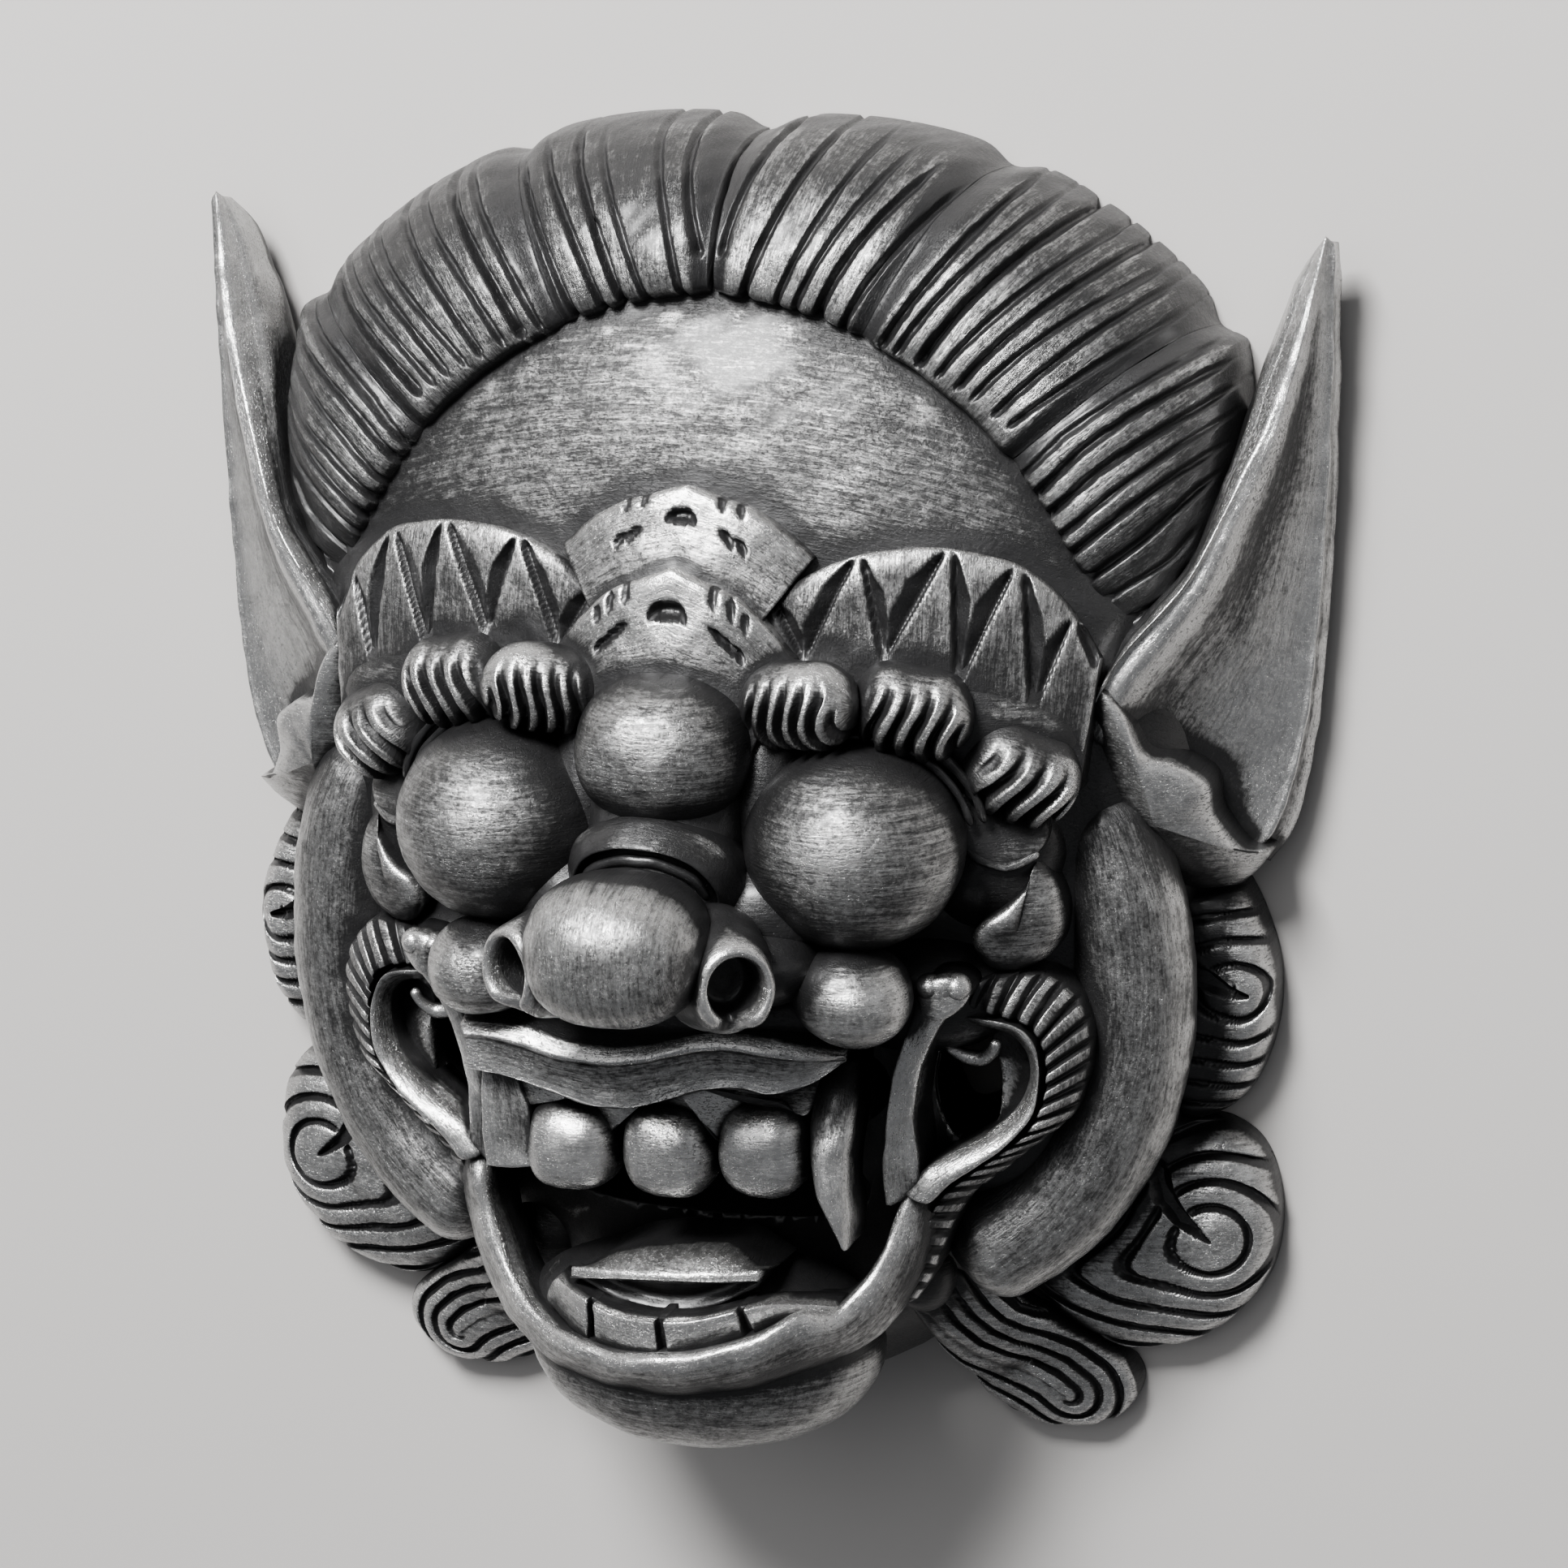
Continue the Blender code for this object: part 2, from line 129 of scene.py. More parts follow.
def distances(path):
    """How far along a path each of its points lies."""
    return np.concatenate([[0], np.cumsum(np.linalg.norm(np.diff(path, axis=0), axis=1))])


def even(points, count):
    """The same curve with its rows at even distances along it."""
    fine = thread(points, 12 * len(points))
    far = distances(fine[:, :3])
    place = np.linspace(0, far[-1], count)
    return np.stack([np.interp(place, far, column) for column in fine.T], axis=1)


def whole(half):
    """A curve that ends on the face's middle line, run on down the other side of the face."""
    return half + [(-point[0],) + tuple(point[1:]) for point in half[-2::-1]]


def full_turn(count):
    """The angles of one full turn, as a row."""
    return np.linspace(0, 2 * np.pi, count, endpoint=False)[None]


def squared(value, square):
    """The value to the power 2 / square with its own sign. Used on a cosine and a sine, it gives a
    circle where square is 2 and a rounder and rounder square above."""
    return np.sign(value) * np.abs(value) ** (2 / square)


def swung(first, second, degrees):
    """Two coordinates turned together by an angle."""
    c, s = np.cos(np.radians(degrees)), np.sin(np.radians(degrees))
    return first * c + second * s, second * c - first * s


def bell(value, middle, wide):
    """1 in the middle, and falling off on both sides as the bell curve does."""
    return np.exp(-(((value - middle) / wide) ** 2))


def step(low, high, value):
    """0 below low, 1 above high, and an even S between them."""
    t = np.clip((value - low) / (high - low), 0, 1)
    return t * t * (3 - 2 * t)


def closed(rings, ink_and_painted_light=0.0, flow="along"):
    """One shell from rings x around x 3 points: two triangles for each cell of the grid, and a fan at each
    end round the ring's mean. Its volume, a sixth of the sum of the triangles' determinants, says whether its
    faces must be turned. The ink value is black left in a cut, and in places painted shade, 0 to 1; under 0
    it is silver left thick, in places a painted highlight. The strokes run along the form, across it, level
    over the face or upright on it."""
    n, m = rings.shape[:2]
    points = np.concatenate([rings.reshape(-1, 3), rings[[0, -1]].mean(axis=1)])
    i, j = np.meshgrid(np.arange(n - 1) * m, np.arange(m), indexing="ij")
    k = (j + 1) % m
    a, b, c, d = (corner.ravel() for corner in (i + j, i + k, i + m + k, i + m + j))
    around = np.arange(m)
    after = (around + 1) % m
    low = np.stack([np.full(m, n * m), after, around], axis=1)
    high = np.stack([np.full(m, n * m + 1), (n - 1) * m + around, (n - 1) * m + after], axis=1)
    faces = np.concatenate([np.stack([a, b, c], axis=1), np.stack([a, c, d], axis=1), low, high])
    if np.linalg.det(points[faces] - points.mean(axis=0)).sum() < 0:
        faces = faces[:, ::-1]
    along = np.linalg.norm(np.diff(rings, axis=0), axis=2).mean(axis=1)
    across = np.linalg.norm(np.diff(rings, axis=1), axis=2).mean(axis=0)
    along = np.broadcast_to(np.concatenate([[0], np.cumsum(along)])[:, None], (n, m))
    across = np.broadcast_to(np.concatenate([[0], np.cumsum(across)])[None], (n, m))
    x, y = rings[..., 0], rings[..., 1]
    strokes = {"along": (along, across), "across": (across, along), "level": (x, y), "upright": (y, x)}
    grain = np.stack([part.ravel() for part in strokes[flow]], axis=1)
    grain = np.concatenate([grain, grain[[0, -1]]]) + SHELL_GRAIN * (points[0, 0] + points[-1, 1])
    dark = np.broadcast_to(np.asarray(ink_and_painted_light, float), (n, m)).ravel()
    return points, faces, grain, np.concatenate([dark, dark[[0, -1]]])


def tell(*names):
    """Say how many triangles these groups of shells hold."""
    count = sum(len(shell[1]) for name in names for shell in shells[name])
    print(" and ".join(names) + ":", count, "triangles")


# %% [markdown]
# ## Balls, bars and lofts
# Most of the carving is eggs, round-ended bars and lofts. An egg's radius and height go round two
# angles. A bar is a ring carried along a smooth path, and ribs and grooves change its radius. A loft
# runs through several curves at once, so it gives lips, leaves and ridges with edges of their own.

# %% Balls, bars and lofts
HIDDEN = (24, 36)


def ball(centre, radii, turn=0.0, tip=0.0, square=2.0, grid=(36, 56), ink_and_painted_light=0.0, flow="level"):
    """An egg: cosine and sine of two angles times three radii, each to the power 2 / square,
    tipped about Y and then turned about Z, in degrees."""
    rise = np.linspace(-0.497, 0.497, grid[0])[:, None] * np.pi
    angle = full_turn(grid[1])
    x = radii[0] * squared(np.cos(rise), square) * squared(np.cos(angle), square)
    y = radii[1] * squared(np.cos(rise), square) * squared(np.sin(angle), square)
    z = radii[2] * squared(np.sin(rise), square) * np.ones_like(angle)
    x, z = swung(x, z, tip)
    y, x = swung(y, x, turn)
    return closed(np.stack([x, y, z], axis=2) + np.array(centre, float), ink_and_painted_light=ink_and_painted_light, flow=flow)


def both(shell):
    """A shell and its mirror image on the other side of the face."""
    points, faces, grain, ink_and_painted_light = shell
    return [shell, (points * np.array([-1, 1, 1]), faces[:, ::-1], grain + MIRROR_GRAIN, ink_and_painted_light)]


def bar(points, count=80, around=40, cap=0.06, cut=None, flow="along"):
    """A bar round a path of x, y, z and radius. Each ring is the path's point plus the side
    direction times cosine and the outward direction times sine, times the radius. The ends
    round off over the share cap. cut(along, turn) gives depth in mm, and ink, to take off."""
    rows = even(points, count)
    path = rows[:, :3]
    along = np.linspace(0, 1, count)
    ends = np.clip(np.minimum(along, 1 - along) / cap, 0.01, 1)
    radius = rows[:, 3] * np.sqrt(1 - (1 - ends) ** 2)
    way = np.gradient(path, axis=0)
    way /= np.linalg.norm(way, axis=1, keepdims=True)
    out = np.array([0, 0, 1]) - way * way[:, 2:]
    out /= np.linalg.norm(out, axis=1, keepdims=True)
    side = np.cross(way, out)
    turn = full_turn(around)
    depth, ink_and_painted_light = cut(along[:, None], turn) if cut else (0.0, 0.0)
    reach = np.maximum(radius[:, None] - depth, 0.02 * radius[:, None])
    rings = path[:, None] + side[:, None] * (reach * np.cos(turn))[..., None]
    rings = rings + out[:, None] * (reach * np.sin(turn))[..., None]
    return closed(rings, ink_and_painted_light=ink_and_painted_light, flow=flow)


def loft(rails, count=90, around=48, ink_and_painted_light=0.0, flow="along"):
    """A shell through rails, curves that run side by side and come back under themselves. Each
    is threaded along, and then every ring is threaded round its rails. Two equal rails make
    an edge."""
    rows = np.stack([thread(rail, count) for rail in rails], axis=1)
    rings = np.stack([looped(row, around) for row in rows])
    return closed(rings, ink_and_painted_light=ink_and_painted_light, flow=flow)


# %% [markdown]
# ## Ribbons, cushions and turned rings
# Three more forms cover the rest. A ribbon fills the gap between two edge curves with a flat arch.
# A cushion swells over any closed outline, so its shape on the face is drawn and its height follows.
# A turned ring is a profile taken round an axis that may point to one side.

# %% Ribbons, cushions and turned rings


def ribbon(first, second, crown, wall, full, count=110, across=20, ends=0.04, cut=None):
    """A ribbon between two edge curves. Across it, cosine and sine to the power 2 / full give a flat
    arch that stands crown over the edges. The walls go straight down. The ends narrow to a round.
    cut(along, across) gives depth and ink."""
    a, b = thread(first, count), thread(second, count)
    far = distances((a + b) / 2)
    along = far / far[-1]
    close = np.clip(np.minimum(along, 1 - along) / ends, 0.02, 1)
    narrow = np.sqrt(1 - (1 - close) ** 2)[:, None]
    middle, half = (a + b) / 2, (b - a) / 2 * narrow
    turn = np.linspace(0, np.pi, across)[None]
    lift = crown * narrow * np.sin(turn) ** (2 / full)
    depth, ink_and_painted_light = cut(along[:, None], turn / np.pi) if cut else (0.0, 0.0)
    top = middle[:, None] - half[:, None] * squared(np.cos(turn), full)[..., None]
    top[..., 2] += lift - depth
    right = np.repeat(top[:, -1:], 3, axis=1)
    left = np.repeat(top[:, :1], 3, axis=1)
    right[..., 2] -= wall * np.array([0.25, 0.6, 1.0])
    left[..., 2] -= wall * np.array([1.0, 0.6, 0.25])
    dark = np.broadcast_to(ink_and_painted_light, top.shape[:2])
    walls = [np.repeat(edge, 3, axis=1) for edge in (dark[:, -1:], dark[:, :1])]
    return closed(np.concatenate([top, right, left], axis=1), ink_and_painted_light=np.concatenate([dark, *walls], axis=1))


def cushion(outline, middle, crown, full, wall, rings=28, around=100, cut=None, ink_and_painted_light=0.0):
    """A cushion over a closed outline. Its height runs from the middle's to the outline's, plus
    crown times (1 - r to the power full) to the power 1 / full, where r is the share of the way out
    from the middle. Under the outline it goes straight down. cut(x, y) gives depth and ink."""
    edge = looped(np.array(outline, float), around)
    middle = np.array(middle, float)
    share = np.sin(np.linspace(0.03, np.pi / 2, rings))[:, None]
    top = middle + (edge - middle)[None] * share[..., None]
    depth, ink_and_painted_light = cut(top[..., 0], top[..., 1]) if cut else (0.0, ink_and_painted_light)
    top[..., 2] += crown * (1 - share**full) ** (1 / full) - depth
    under = np.repeat(top[-1:], 3, axis=0)
    under[..., 2] -= wall * np.array([0.2, 0.6, 1.0])[:, None]
    dark = np.broadcast_to(ink_and_painted_light, top.shape[:2])
    dark = np.concatenate([dark, np.repeat(dark[-1:], 3, axis=0)])
    return closed(np.concatenate([top, under]), ink_and_painted_light=dark, flow="level")


def turned(centre, profile, swing, tall=1.0, open_below=0.0, around=80):
    """A profile of radius and height taken round an axis that swings to one side, in degrees. It is
    stretched tall times in Y, and its rim is lowered by open_below mm at the bottom."""
    profile = thread(profile, 40)
    turn = full_turn(around)
    gap = bell(turn, 1.5 * np.pi, 0.42)
    near = np.clip((profile[:, 1:] + 6) / 6, 0, 1)
    x = profile[:, :1] * np.cos(turn)
    y = profile[:, :1] * np.sin(turn) * tall
    z = profile[:, 1:] - open_below * gap * near
    x, z = swung(x, z, swing)
    return closed(np.stack([x, y, z], axis=2) + np.array(centre, float), flow="across")


# %% [markdown]
# ## Chisel cuts
# A cut is a line on the face with a width and a depth. `from_line` measures every point of a surface
# against it at once. A V cut is deepest on its line. A gouge has one steep wall and one long slope,
# as a chisel held over leaves it.

# %% Chisel cuts


def from_line(x, y, path):
    """Distance from a path of points on the face, the side it is on, and the share along it."""
    path = np.array(path, float)
    steps = np.linalg.norm(np.diff(path, axis=0), axis=1)
    start = np.concatenate([[0], np.cumsum(steps)]) / steps.sum()
    best, side, share = np.full(x.shape, 1e9), np.zeros(x.shape), np.zeros(x.shape)
    for k in range(len(steps)):
        way = (path[k + 1] - path[k]) / steps[k]
        from_x, from_y = x - path[k, 0], y - path[k, 1]
        t = np.clip((from_x * way[0] + from_y * way[1]) / steps[k], 0, 1)
        left = way[0] * from_y - way[1] * from_x
        far = np.hypot(from_x - t * steps[k] * way[0], from_y - t * steps[k] * way[1])
        near = far < best
        best = np.where(near, far, best)
        side = np.where(near, np.sign(left), side)
        share = np.where(near, start[k] + t * (start[k + 1] - start[k]), share)
    return best, side, share


def v_cut(x, y, path, wide, deep, taper=0.25):
    """Depth of a V cut: deepest on its path, nothing half its width away, thin at its ends."""
    far, _, share = from_line(x, y, path)
    thin = np.clip(np.minimum(share, 1 - share) / taper, 0.05, 1) ** 0.6
    return deep * thin * np.clip(1 - far / (0.5 * wide * thin), 0, 1) ** 0.8


def gouge(x, y, start, end, wide, deep):
    """Depth of a leaning cut: a steep wall on the line, and a slope up over its width beside
    it, to the left of the line where wide is over 0 and to the right where it is under."""
    far, side, share = from_line(x, y, [start, end])
    off = far * side * np.sign(wide)
    full = abs(wide) * np.clip(np.minimum(share * 2.2 + 0.25, (1 - share) * 3.2 + 0.12), 0, 1)
    slope = np.clip(1 - off / full, 0, 1) * step(-0.35, 0.25, off)
    return deep * slope * np.clip(np.minimum(share, 1 - share) * 9 + 0.1, 0, 1)


# %% [markdown]
# ## The egg-shaped block
# Under the face is a plain egg of wood with a flat back rim and a smooth hollow behind. Its height
# is a rounded power of the distance from its middle, so the forehead is a low dome with a steep
# side. One shell runs from the middle of the hollow over the rim and up to the middle of the face.

# %% The egg-shaped block
BLOCK_HALF, BLOCK_MIDDLE, BLOCK_UP, BLOCK_DOWN = 87, 30, 83, 145
BLOCK_OUT, FULLNESS = 52, 2.4
RIM, HOLLOW = 22, 36
CHISEL_MARK = 0.35


def block_height(x, y):
    """The egg's height: 52 times (1 - r to the power 2.4) to the power 1 / 2.4, where r is the
    distance from its middle as a share of its reach."""
    reach = np.where(y > BLOCK_MIDDLE, BLOCK_UP, BLOCK_DOWN)
    out = np.hypot(x / BLOCK_HALF, (y - BLOCK_MIDDLE) / reach)
    return BLOCK_OUT * np.maximum(0, 1 - out**FULLNESS) ** (1 / FULLNESS)


def block_shell(count=70, around=210):
    """Rings of the hollow from its middle out, then rings of the egg from its rim in. Shallow waves
    in the hollow stand for the marks that a broad gouge leaves."""
    turn = full_turn(around)
    share = np.sin(np.linspace(0.02, np.pi / 2, count // 3))[:, None]
    reach = np.where(np.sin(turn) > 0, BLOCK_UP - RIM, BLOCK_DOWN - RIM)
    x = (BLOCK_HALF - RIM) * share * np.cos(turn)
    y = BLOCK_MIDDLE + reach * share * np.sin(turn)
    mark = CHISEL_MARK * np.sin(x * 0.55 + 2 * np.sin(y * 0.06)) * np.sin(y * 0.21 + x * 0.05)
    inside = np.stack([x, y, HOLLOW * (1 - share**2.6) ** 0.45 + mark * (1 - share**4)], axis=2)
    share = np.sin(np.linspace(np.pi / 2, 0.012, count))[:, None]
    reach = np.where(np.sin(turn) > 0, BLOCK_UP, BLOCK_DOWN)
    x = BLOCK_HALF * share * np.cos(turn)
    y = BLOCK_MIDDLE + reach * share * np.sin(turn)
    outside = np.stack([x, y, BLOCK_OUT * (1 - share**FULLNESS) ** (1 / FULLNESS) + 0 * x], axis=2)
    return closed(np.concatenate([inside, outside]), flow="level")


shells = {"block": [block_shell()]}
print("block:", len(shells["block"][0][0]), "points")

# %% [markdown]
# ## Hair
# Three locks fan out on each side of the parting. Long V cuts part each lock into flat strands. They
# start at the hairline and run out before the smooth outer edge. The locks fall away where they meet,
# and black stays in those valleys. Each lock is one height field: from the hairline to its edge the
# height falls as a quarter turn's cosine, and the cuts are taken off it.

# %% Hair
INNER = ((0.3, 16.6), (16.6, 37.4), (37.4, 66))
OUTER = ((0.3, 21.0), (21.0, 42.6), (42.6, 61))
CUTS = (
    (
        (3.0, 8.0, 93, 128), (6.6, 12.2, 93, 127), (9.0, 14.8, 93, 127), (11.6, 17.2, 93, 126),
        (14.4, 19.6, 93, 125), (0.9, 4.2, 103, 129),
    ),
    (
        (18.8, 24.4, 93, 129), (20.9, 27.0, 93, 130), (23.6, 29.8, 93, 130), (25.8, 32.4, 93, 130),
        (28.0, 34.8, 93, 130), (30.4, 36.8, 93, 129), (32.7, 38.6, 93, 128), (34.8, 40.2, 93, 127),
    ),
    (
        (39.6, 44.1, 93, 126), (42.2, 45.8, 93, 125), (44.7, 47.4, 93, 122), (47.3, 48.9, 93, 118),
        (50.0, 50.4, 93, 114), (53.0, 52.4, 93, 110), (56.4, 54.8, 93, 104), (60.0, 57.2, 93, 98),
    ),
)
CUT_DEEP, CUT_WIDE = 1.7, 2.0
HAIR_HIGH, LEFT_PAINTED_SHADE = 40.5, 0.13
TUCKED, SUNK = 5, 22.0


def hairline(angle):
    """Distance of the hairline from the middle of the face, at an angle from the crown."""
    return 96.5 - 17.5 * (angle / 62) ** 1.4


def hair_edge(angle):
    """Distance of the hair's outer edge from the middle of the face."""
    return 124.0 + 3.2 * np.sin(np.radians(np.minimum(angle, 45) * 4)) - 1.5 * np.maximum(0, angle - 45)


def wobble(number):
    """A fixed number from -1 to 1 that looks random, for each whole number."""
    return 2 * np.modf(np.abs(np.sin(number * 12.9898 + 4.1) * 43758.5453))[0] - 1


def on_circle(angle, far):
    """The point at an angle from the crown and a distance from the middle of the face."""
    return far * np.sin(np.radians(angle)), far * np.cos(np.radians(angle))


def lock(side, which, count=140, along=72):
    """One lock's shell: its smooth surface, less the cuts between strands and the valleys."""
    inner, outer, seed = INNER[which], OUTER[which], which + 3 * (side < 0)
    q = np.linspace(0, 1, count)[:, None]
    s = np.linspace(0, 1, along)[None]
    line = inner[0] + (inner[1] - inner[0]) * q
    edge = outer[0] + (outer[1] - outer[0]) * q
    start, end = hairline(line) + 0.6, hair_edge(edge)
    swing = np.radians(90 * s)
    turn = line + (edge - line) * s**0.9
    far = start + (end - start) * np.sin(swing)
    x, y = on_circle(turn, far)
    nearest = np.full(x.shape, 9.0)
    cut = np.zeros(x.shape)
    for number, (low, high, first, last) in enumerate(CUTS[which]):
        low, high = low + 0.35 * wobble(number + seed), high + 0.5 * wobble(number + 9 + seed)
        last = last + 1.6 * wobble(number + 5 * seed)
        t = np.linspace(0, 1, 7)
        bend = 0.5 * np.sin(np.pi * t) * wobble(number + 17 + seed)
        path = np.stack(on_circle(low + (high - low) * t**1.15 + bend, first + (last - first) * t), axis=1)
        if which == 2:
            path[0] = on_circle(low, hairline(low) - 1)
        off, _, share = from_line(x, y, path)
        thin = step(0.0, 0.06, share) * (1 - step(0.86, 1.0, share))
        thin = thin * (0.85 + 0.25 * wobble(number * 3 + seed))
        half = 0.5 * CUT_WIDE * (0.35 + 0.65 * thin)
        cut = np.maximum(cut, CUT_DEEP * thin * np.clip(1 - off / half, 0, 1) ** 0.75)
        nearest = np.minimum(nearest, off + 4 * (1 - thin))
    valley = np.minimum(q, 1 - q) * np.hypot(np.diff(x[[0, -1]], axis=0), np.diff(y[[0, -1]], axis=0))
    fall = 3.0 * bell(valley, 0, 1.8 + 2.2 * s) * (0.6 + 0.4 * s)
    shoulder = 0.75 * np.exp(-nearest / 0.9)
    front = np.exp(-s * 30) * (1.4 + 1.6 * np.exp(-nearest / 0.7))
    drop = cut + fall + shoulder
    x, y = on_circle(turn, far - (0.35 + 0.45 * s) * drop * s + 0.5 * front)
    low = 1 - 0.22 * step(47, 62, turn)
    up = (HAIR_HIGH * low - 0.5 * drop * (1 + s)) * np.cos(swing) ** 0.8
    up = np.maximum(up - (1 - s) * 0.5 * drop - front, 0.4)
    top = np.stack([side * x, y, up], axis=2)
    foot = np.linspace(1, 0, 5)[None] * np.ones_like(q)
    low_far = hairline(line) - TUCKED + (np.hypot(x, y)[:, -1:] - hairline(line) + TUCKED) * foot
    low_x, low_y = on_circle(line + (edge - line) * foot**0.9, low_far)
    under = np.stack([side * low_x, low_y, np.full_like(low_x, 0.06)], axis=2)
    sunk_x, sunk_y = on_circle(line, hairline(line) - TUCKED)
    sunk = np.stack([side * sunk_x, sunk_y, np.full_like(sunk_x, SUNK)], axis=2)
    ink_and_painted_light = np.clip(1.5 * cut / CUT_DEEP, 0, 1) + 1.1 * bell(valley, 0, 1.9 + 2.6 * s)
    # painted shade: the hair on the left side is made darker as a whole
    ink_and_painted_light = np.clip(ink_and_painted_light + LEFT_PAINTED_SHADE * (side < 0), 0, 1)
    hidden = np.zeros((count, foot.shape[1] + 1))
    ink_and_painted_light = np.concatenate([ink_and_painted_light, hidden], axis=1)
    return closed(np.concatenate([top, under, sunk], axis=1), ink_and_painted_light=ink_and_painted_light, flow="across")


for name, side in (("right", 1), ("left", -1)):
    shells["hair_" + name] = [lock(side, which) for which in range(3)]
print("hair:", sum(len(shell[1]) for shell in shells["hair_right"]), "triangles a side")

# %% [markdown]
# ## Ears
# Each ear is a long pointed leaf. From the hair it climbs to a rounded ridge, drops into a hollow and
# runs out to a thin outer edge, and a waved lobe at its foot overhangs the hollow. One loft through
# curves between the inner edge, the ridge and the outer edge gives the leaf. The lobe is a cushion.

# %% Ears
INNER_EAR = [
    (66, 26, 28), (72, 38.5, 29), (82.5, 51.6, 25), (87, 63.5, 20.5), (91, 76.5, 15.5),
    (92.6, 83, 13.4), (96, 93.5, 11.4), (98.4, 100.6, 10.8), (101.9, 106.4, 11.0),
]
RIDGE = [
    (67.6, 23.6, 37), (74.0, 36.2, 37), (84.2, 49.0, 32.5), (89.8, 60.2, 28.4), (95.2, 73, 23.4),
    (97.6, 80.4, 20.8), (100.0, 90.4, 18), (101.5, 98.6, 15.6), (103.0, 107.9, 12.8),
]
OUTER_EAR = [
    (93, -4, 12), (97.5, 4, 11), (100.9, 17.6, 10), (102.6, 33, 9.6), (103.6, 50, 9.6),
    (104.1, 63, 9.8), (104.4, 79, 10.4), (104.5, 95, 11.2), (104.4, 106.4, 11.8),
]
WAVE = [
    (66, 31, 35), (70.5, 31.5, 37), (74.4, 27, 36.5), (77.6, 19.6, 34), (82.4, 17.4, 31),
    (87.3, 13.2, 27.5), (88.4, 6, 24), (92.5, -0.3, 19.5), (96.5, -2.3, 14), (91, -8.5, 11),
    (83, -10, 13), (75, -5, 17), (67, 4, 22), (63, 18, 28),
]


def ear_rails():
    """The leaf's curves. Between the ridge and the outer edge the height falls as 1 - k to the
    power 1.7, where k is the share of the way across, so the hollow is steep near the ridge."""
    inner, ridge, outer = (np.array(points, float) for points in (INNER_EAR, RIDGE, OUTER_EAR))
    up = np.array([0, 0, 1.0])
    back = up * (3.4 + 5 * np.linspace(0, 1, len(outer))[:, None] ** 8)
    high = (ridge - outer)[:, 2:]
    rails = [inner * (1 - k) + ridge * k + lift * high * up for k, lift in ((0.38, 0.08), (0.74, 0.13))]
    rails.append(ridge)
    for k in (0.10, 0.26, 0.50, 0.76, 0.93):
        flat = ridge * (1 - k) + outer * k
        flat[:, 2:] = outer[:, 2:] + high * ((1 - k) ** 1.7 + 0.13 * (k == 0.10))
        rails.append(flat)
    rails += [outer, outer - up * 2.0, outer * [1, 1, 0] + back, inner * [1, 1, 0] + back, inner]
    return rails


EAR_AROUND = 84
leaf_rails = ear_rails()
rail = len(leaf_rails) * np.arange(EAR_AROUND) / EAR_AROUND
# painted light: the leaf is lighter all over than its shape gives, with a painted highlight along the ridge
# and the outer edge, and a painted shade in the hollow beside the ridge
leaf_painted_light = -0.70 - 0.60 * bell(rail, 1.9, 1.2) + 0.22 * bell(rail, 4.2, 0.9) - 0.35 * bell(rail, 8.0, 0.6)
shells["ears"] = both(loft(leaf_rails, count=120, around=EAR_AROUND, ink_and_painted_light=leaf_painted_light))
# painted light: the lobe is made lighter than its shape gives
shells["ears"] += both(cushion(WAVE, (79, 6, 27), 5.0, full=2.3, wall=13, rings=36, around=150, ink_and_painted_light=-0.4))
tell("ears")

# %% [markdown]
# ## Diadem and plaques
# A band lies over each brow, cut into flat upright teeth between pairs of gouges that meet in a point.
# Two plaques stand between the bands, the lower one over the upper. These are panels between two edge
# curves. Their face follows the egg, and the cuts are taken off it by where each point is.

# %% Diadem and plaques


def panel(near, far, face, side=1, count=110, across=52, flow="along"):
    """A raised panel: straight lines from the near edge curve to the far one, at the height that
    face(u, v, x, y) gives, brought back under itself, inside the egg. face also gives ink."""
    near, far = thread(near, count), thread(far, count)
    u = np.linspace(0, 1, count)[:, None]
    v = np.linspace(0, 1, across)[None]
    x = near[:, :1] * (1 - v) + far[:, :1] * v
    y = near[:, 1:2] * (1 - v) + far[:, 1:2] * v
    z, ink_and_painted_light = face(u, v, x, y)
    top = np.stack([side * x, y, z], axis=2)
    low = block_height(x, y) - 6
    under = np.stack([side * x, y, low], axis=2)[:, ::-6]
    dark = np.concatenate([ink_and_painted_light, np.zeros((count, under.shape[1]))], axis=1)
    return closed(np.concatenate([top, under], axis=1), ink_and_painted_light=dark, flow=flow)


BAND_TOP = [
    (13.5, 45), (21.9, 51.7), (29.4, 55.1), (36.8, 56.7), (45.2, 56.8), (51.3, 55.8), (57.8, 53.5),
    (64.5, 47.2), (70.5, 37),
]
BAND_LOW = [
    (16, 33), (22, 33), (30, 33), (38, 33), (45, 30), (51, 27), (57, 23), (62, 19), (68, 14),
]
TEETH = (
    ((16.2, 47.4), (21.9, 37.4), 2.6), ((30.3, 55.0), (22.6, 37.4), -3.0),
    ((31.4, 55.1), (35.7, 37.8), 3.0), ((45.5, 56.5), (36.3, 37.9), -3.4),
    ((46.6, 56.1), (48.0, 33.2), 3.2), ((56.6, 53.3), (48.6, 33.3), -3.4),
    ((58.1, 52.5), (60.3, 28.8), 3.2), ((66.1, 44.3), (60.7, 28.3), -2.8),
    ((66.8, 43.0), (69.9, 35.5), 2.0),
)


def band_face(u, v, x, y):
    """The egg's height plus a lift that slopes to the brow, less the deepest gouge there."""
    cut = np.zeros_like(x)
    for start, end, wide in TEETH:
        cut = np.maximum(cut, gouge(x, y, start, end, wide, 2.7))
    edge = 1.3 * np.exp(-v * 16)
    return block_height(x, y) + 5.2 + 1.2 * v - cut - edge, np.clip(cut / 1.6, 0, 1) * 0.8


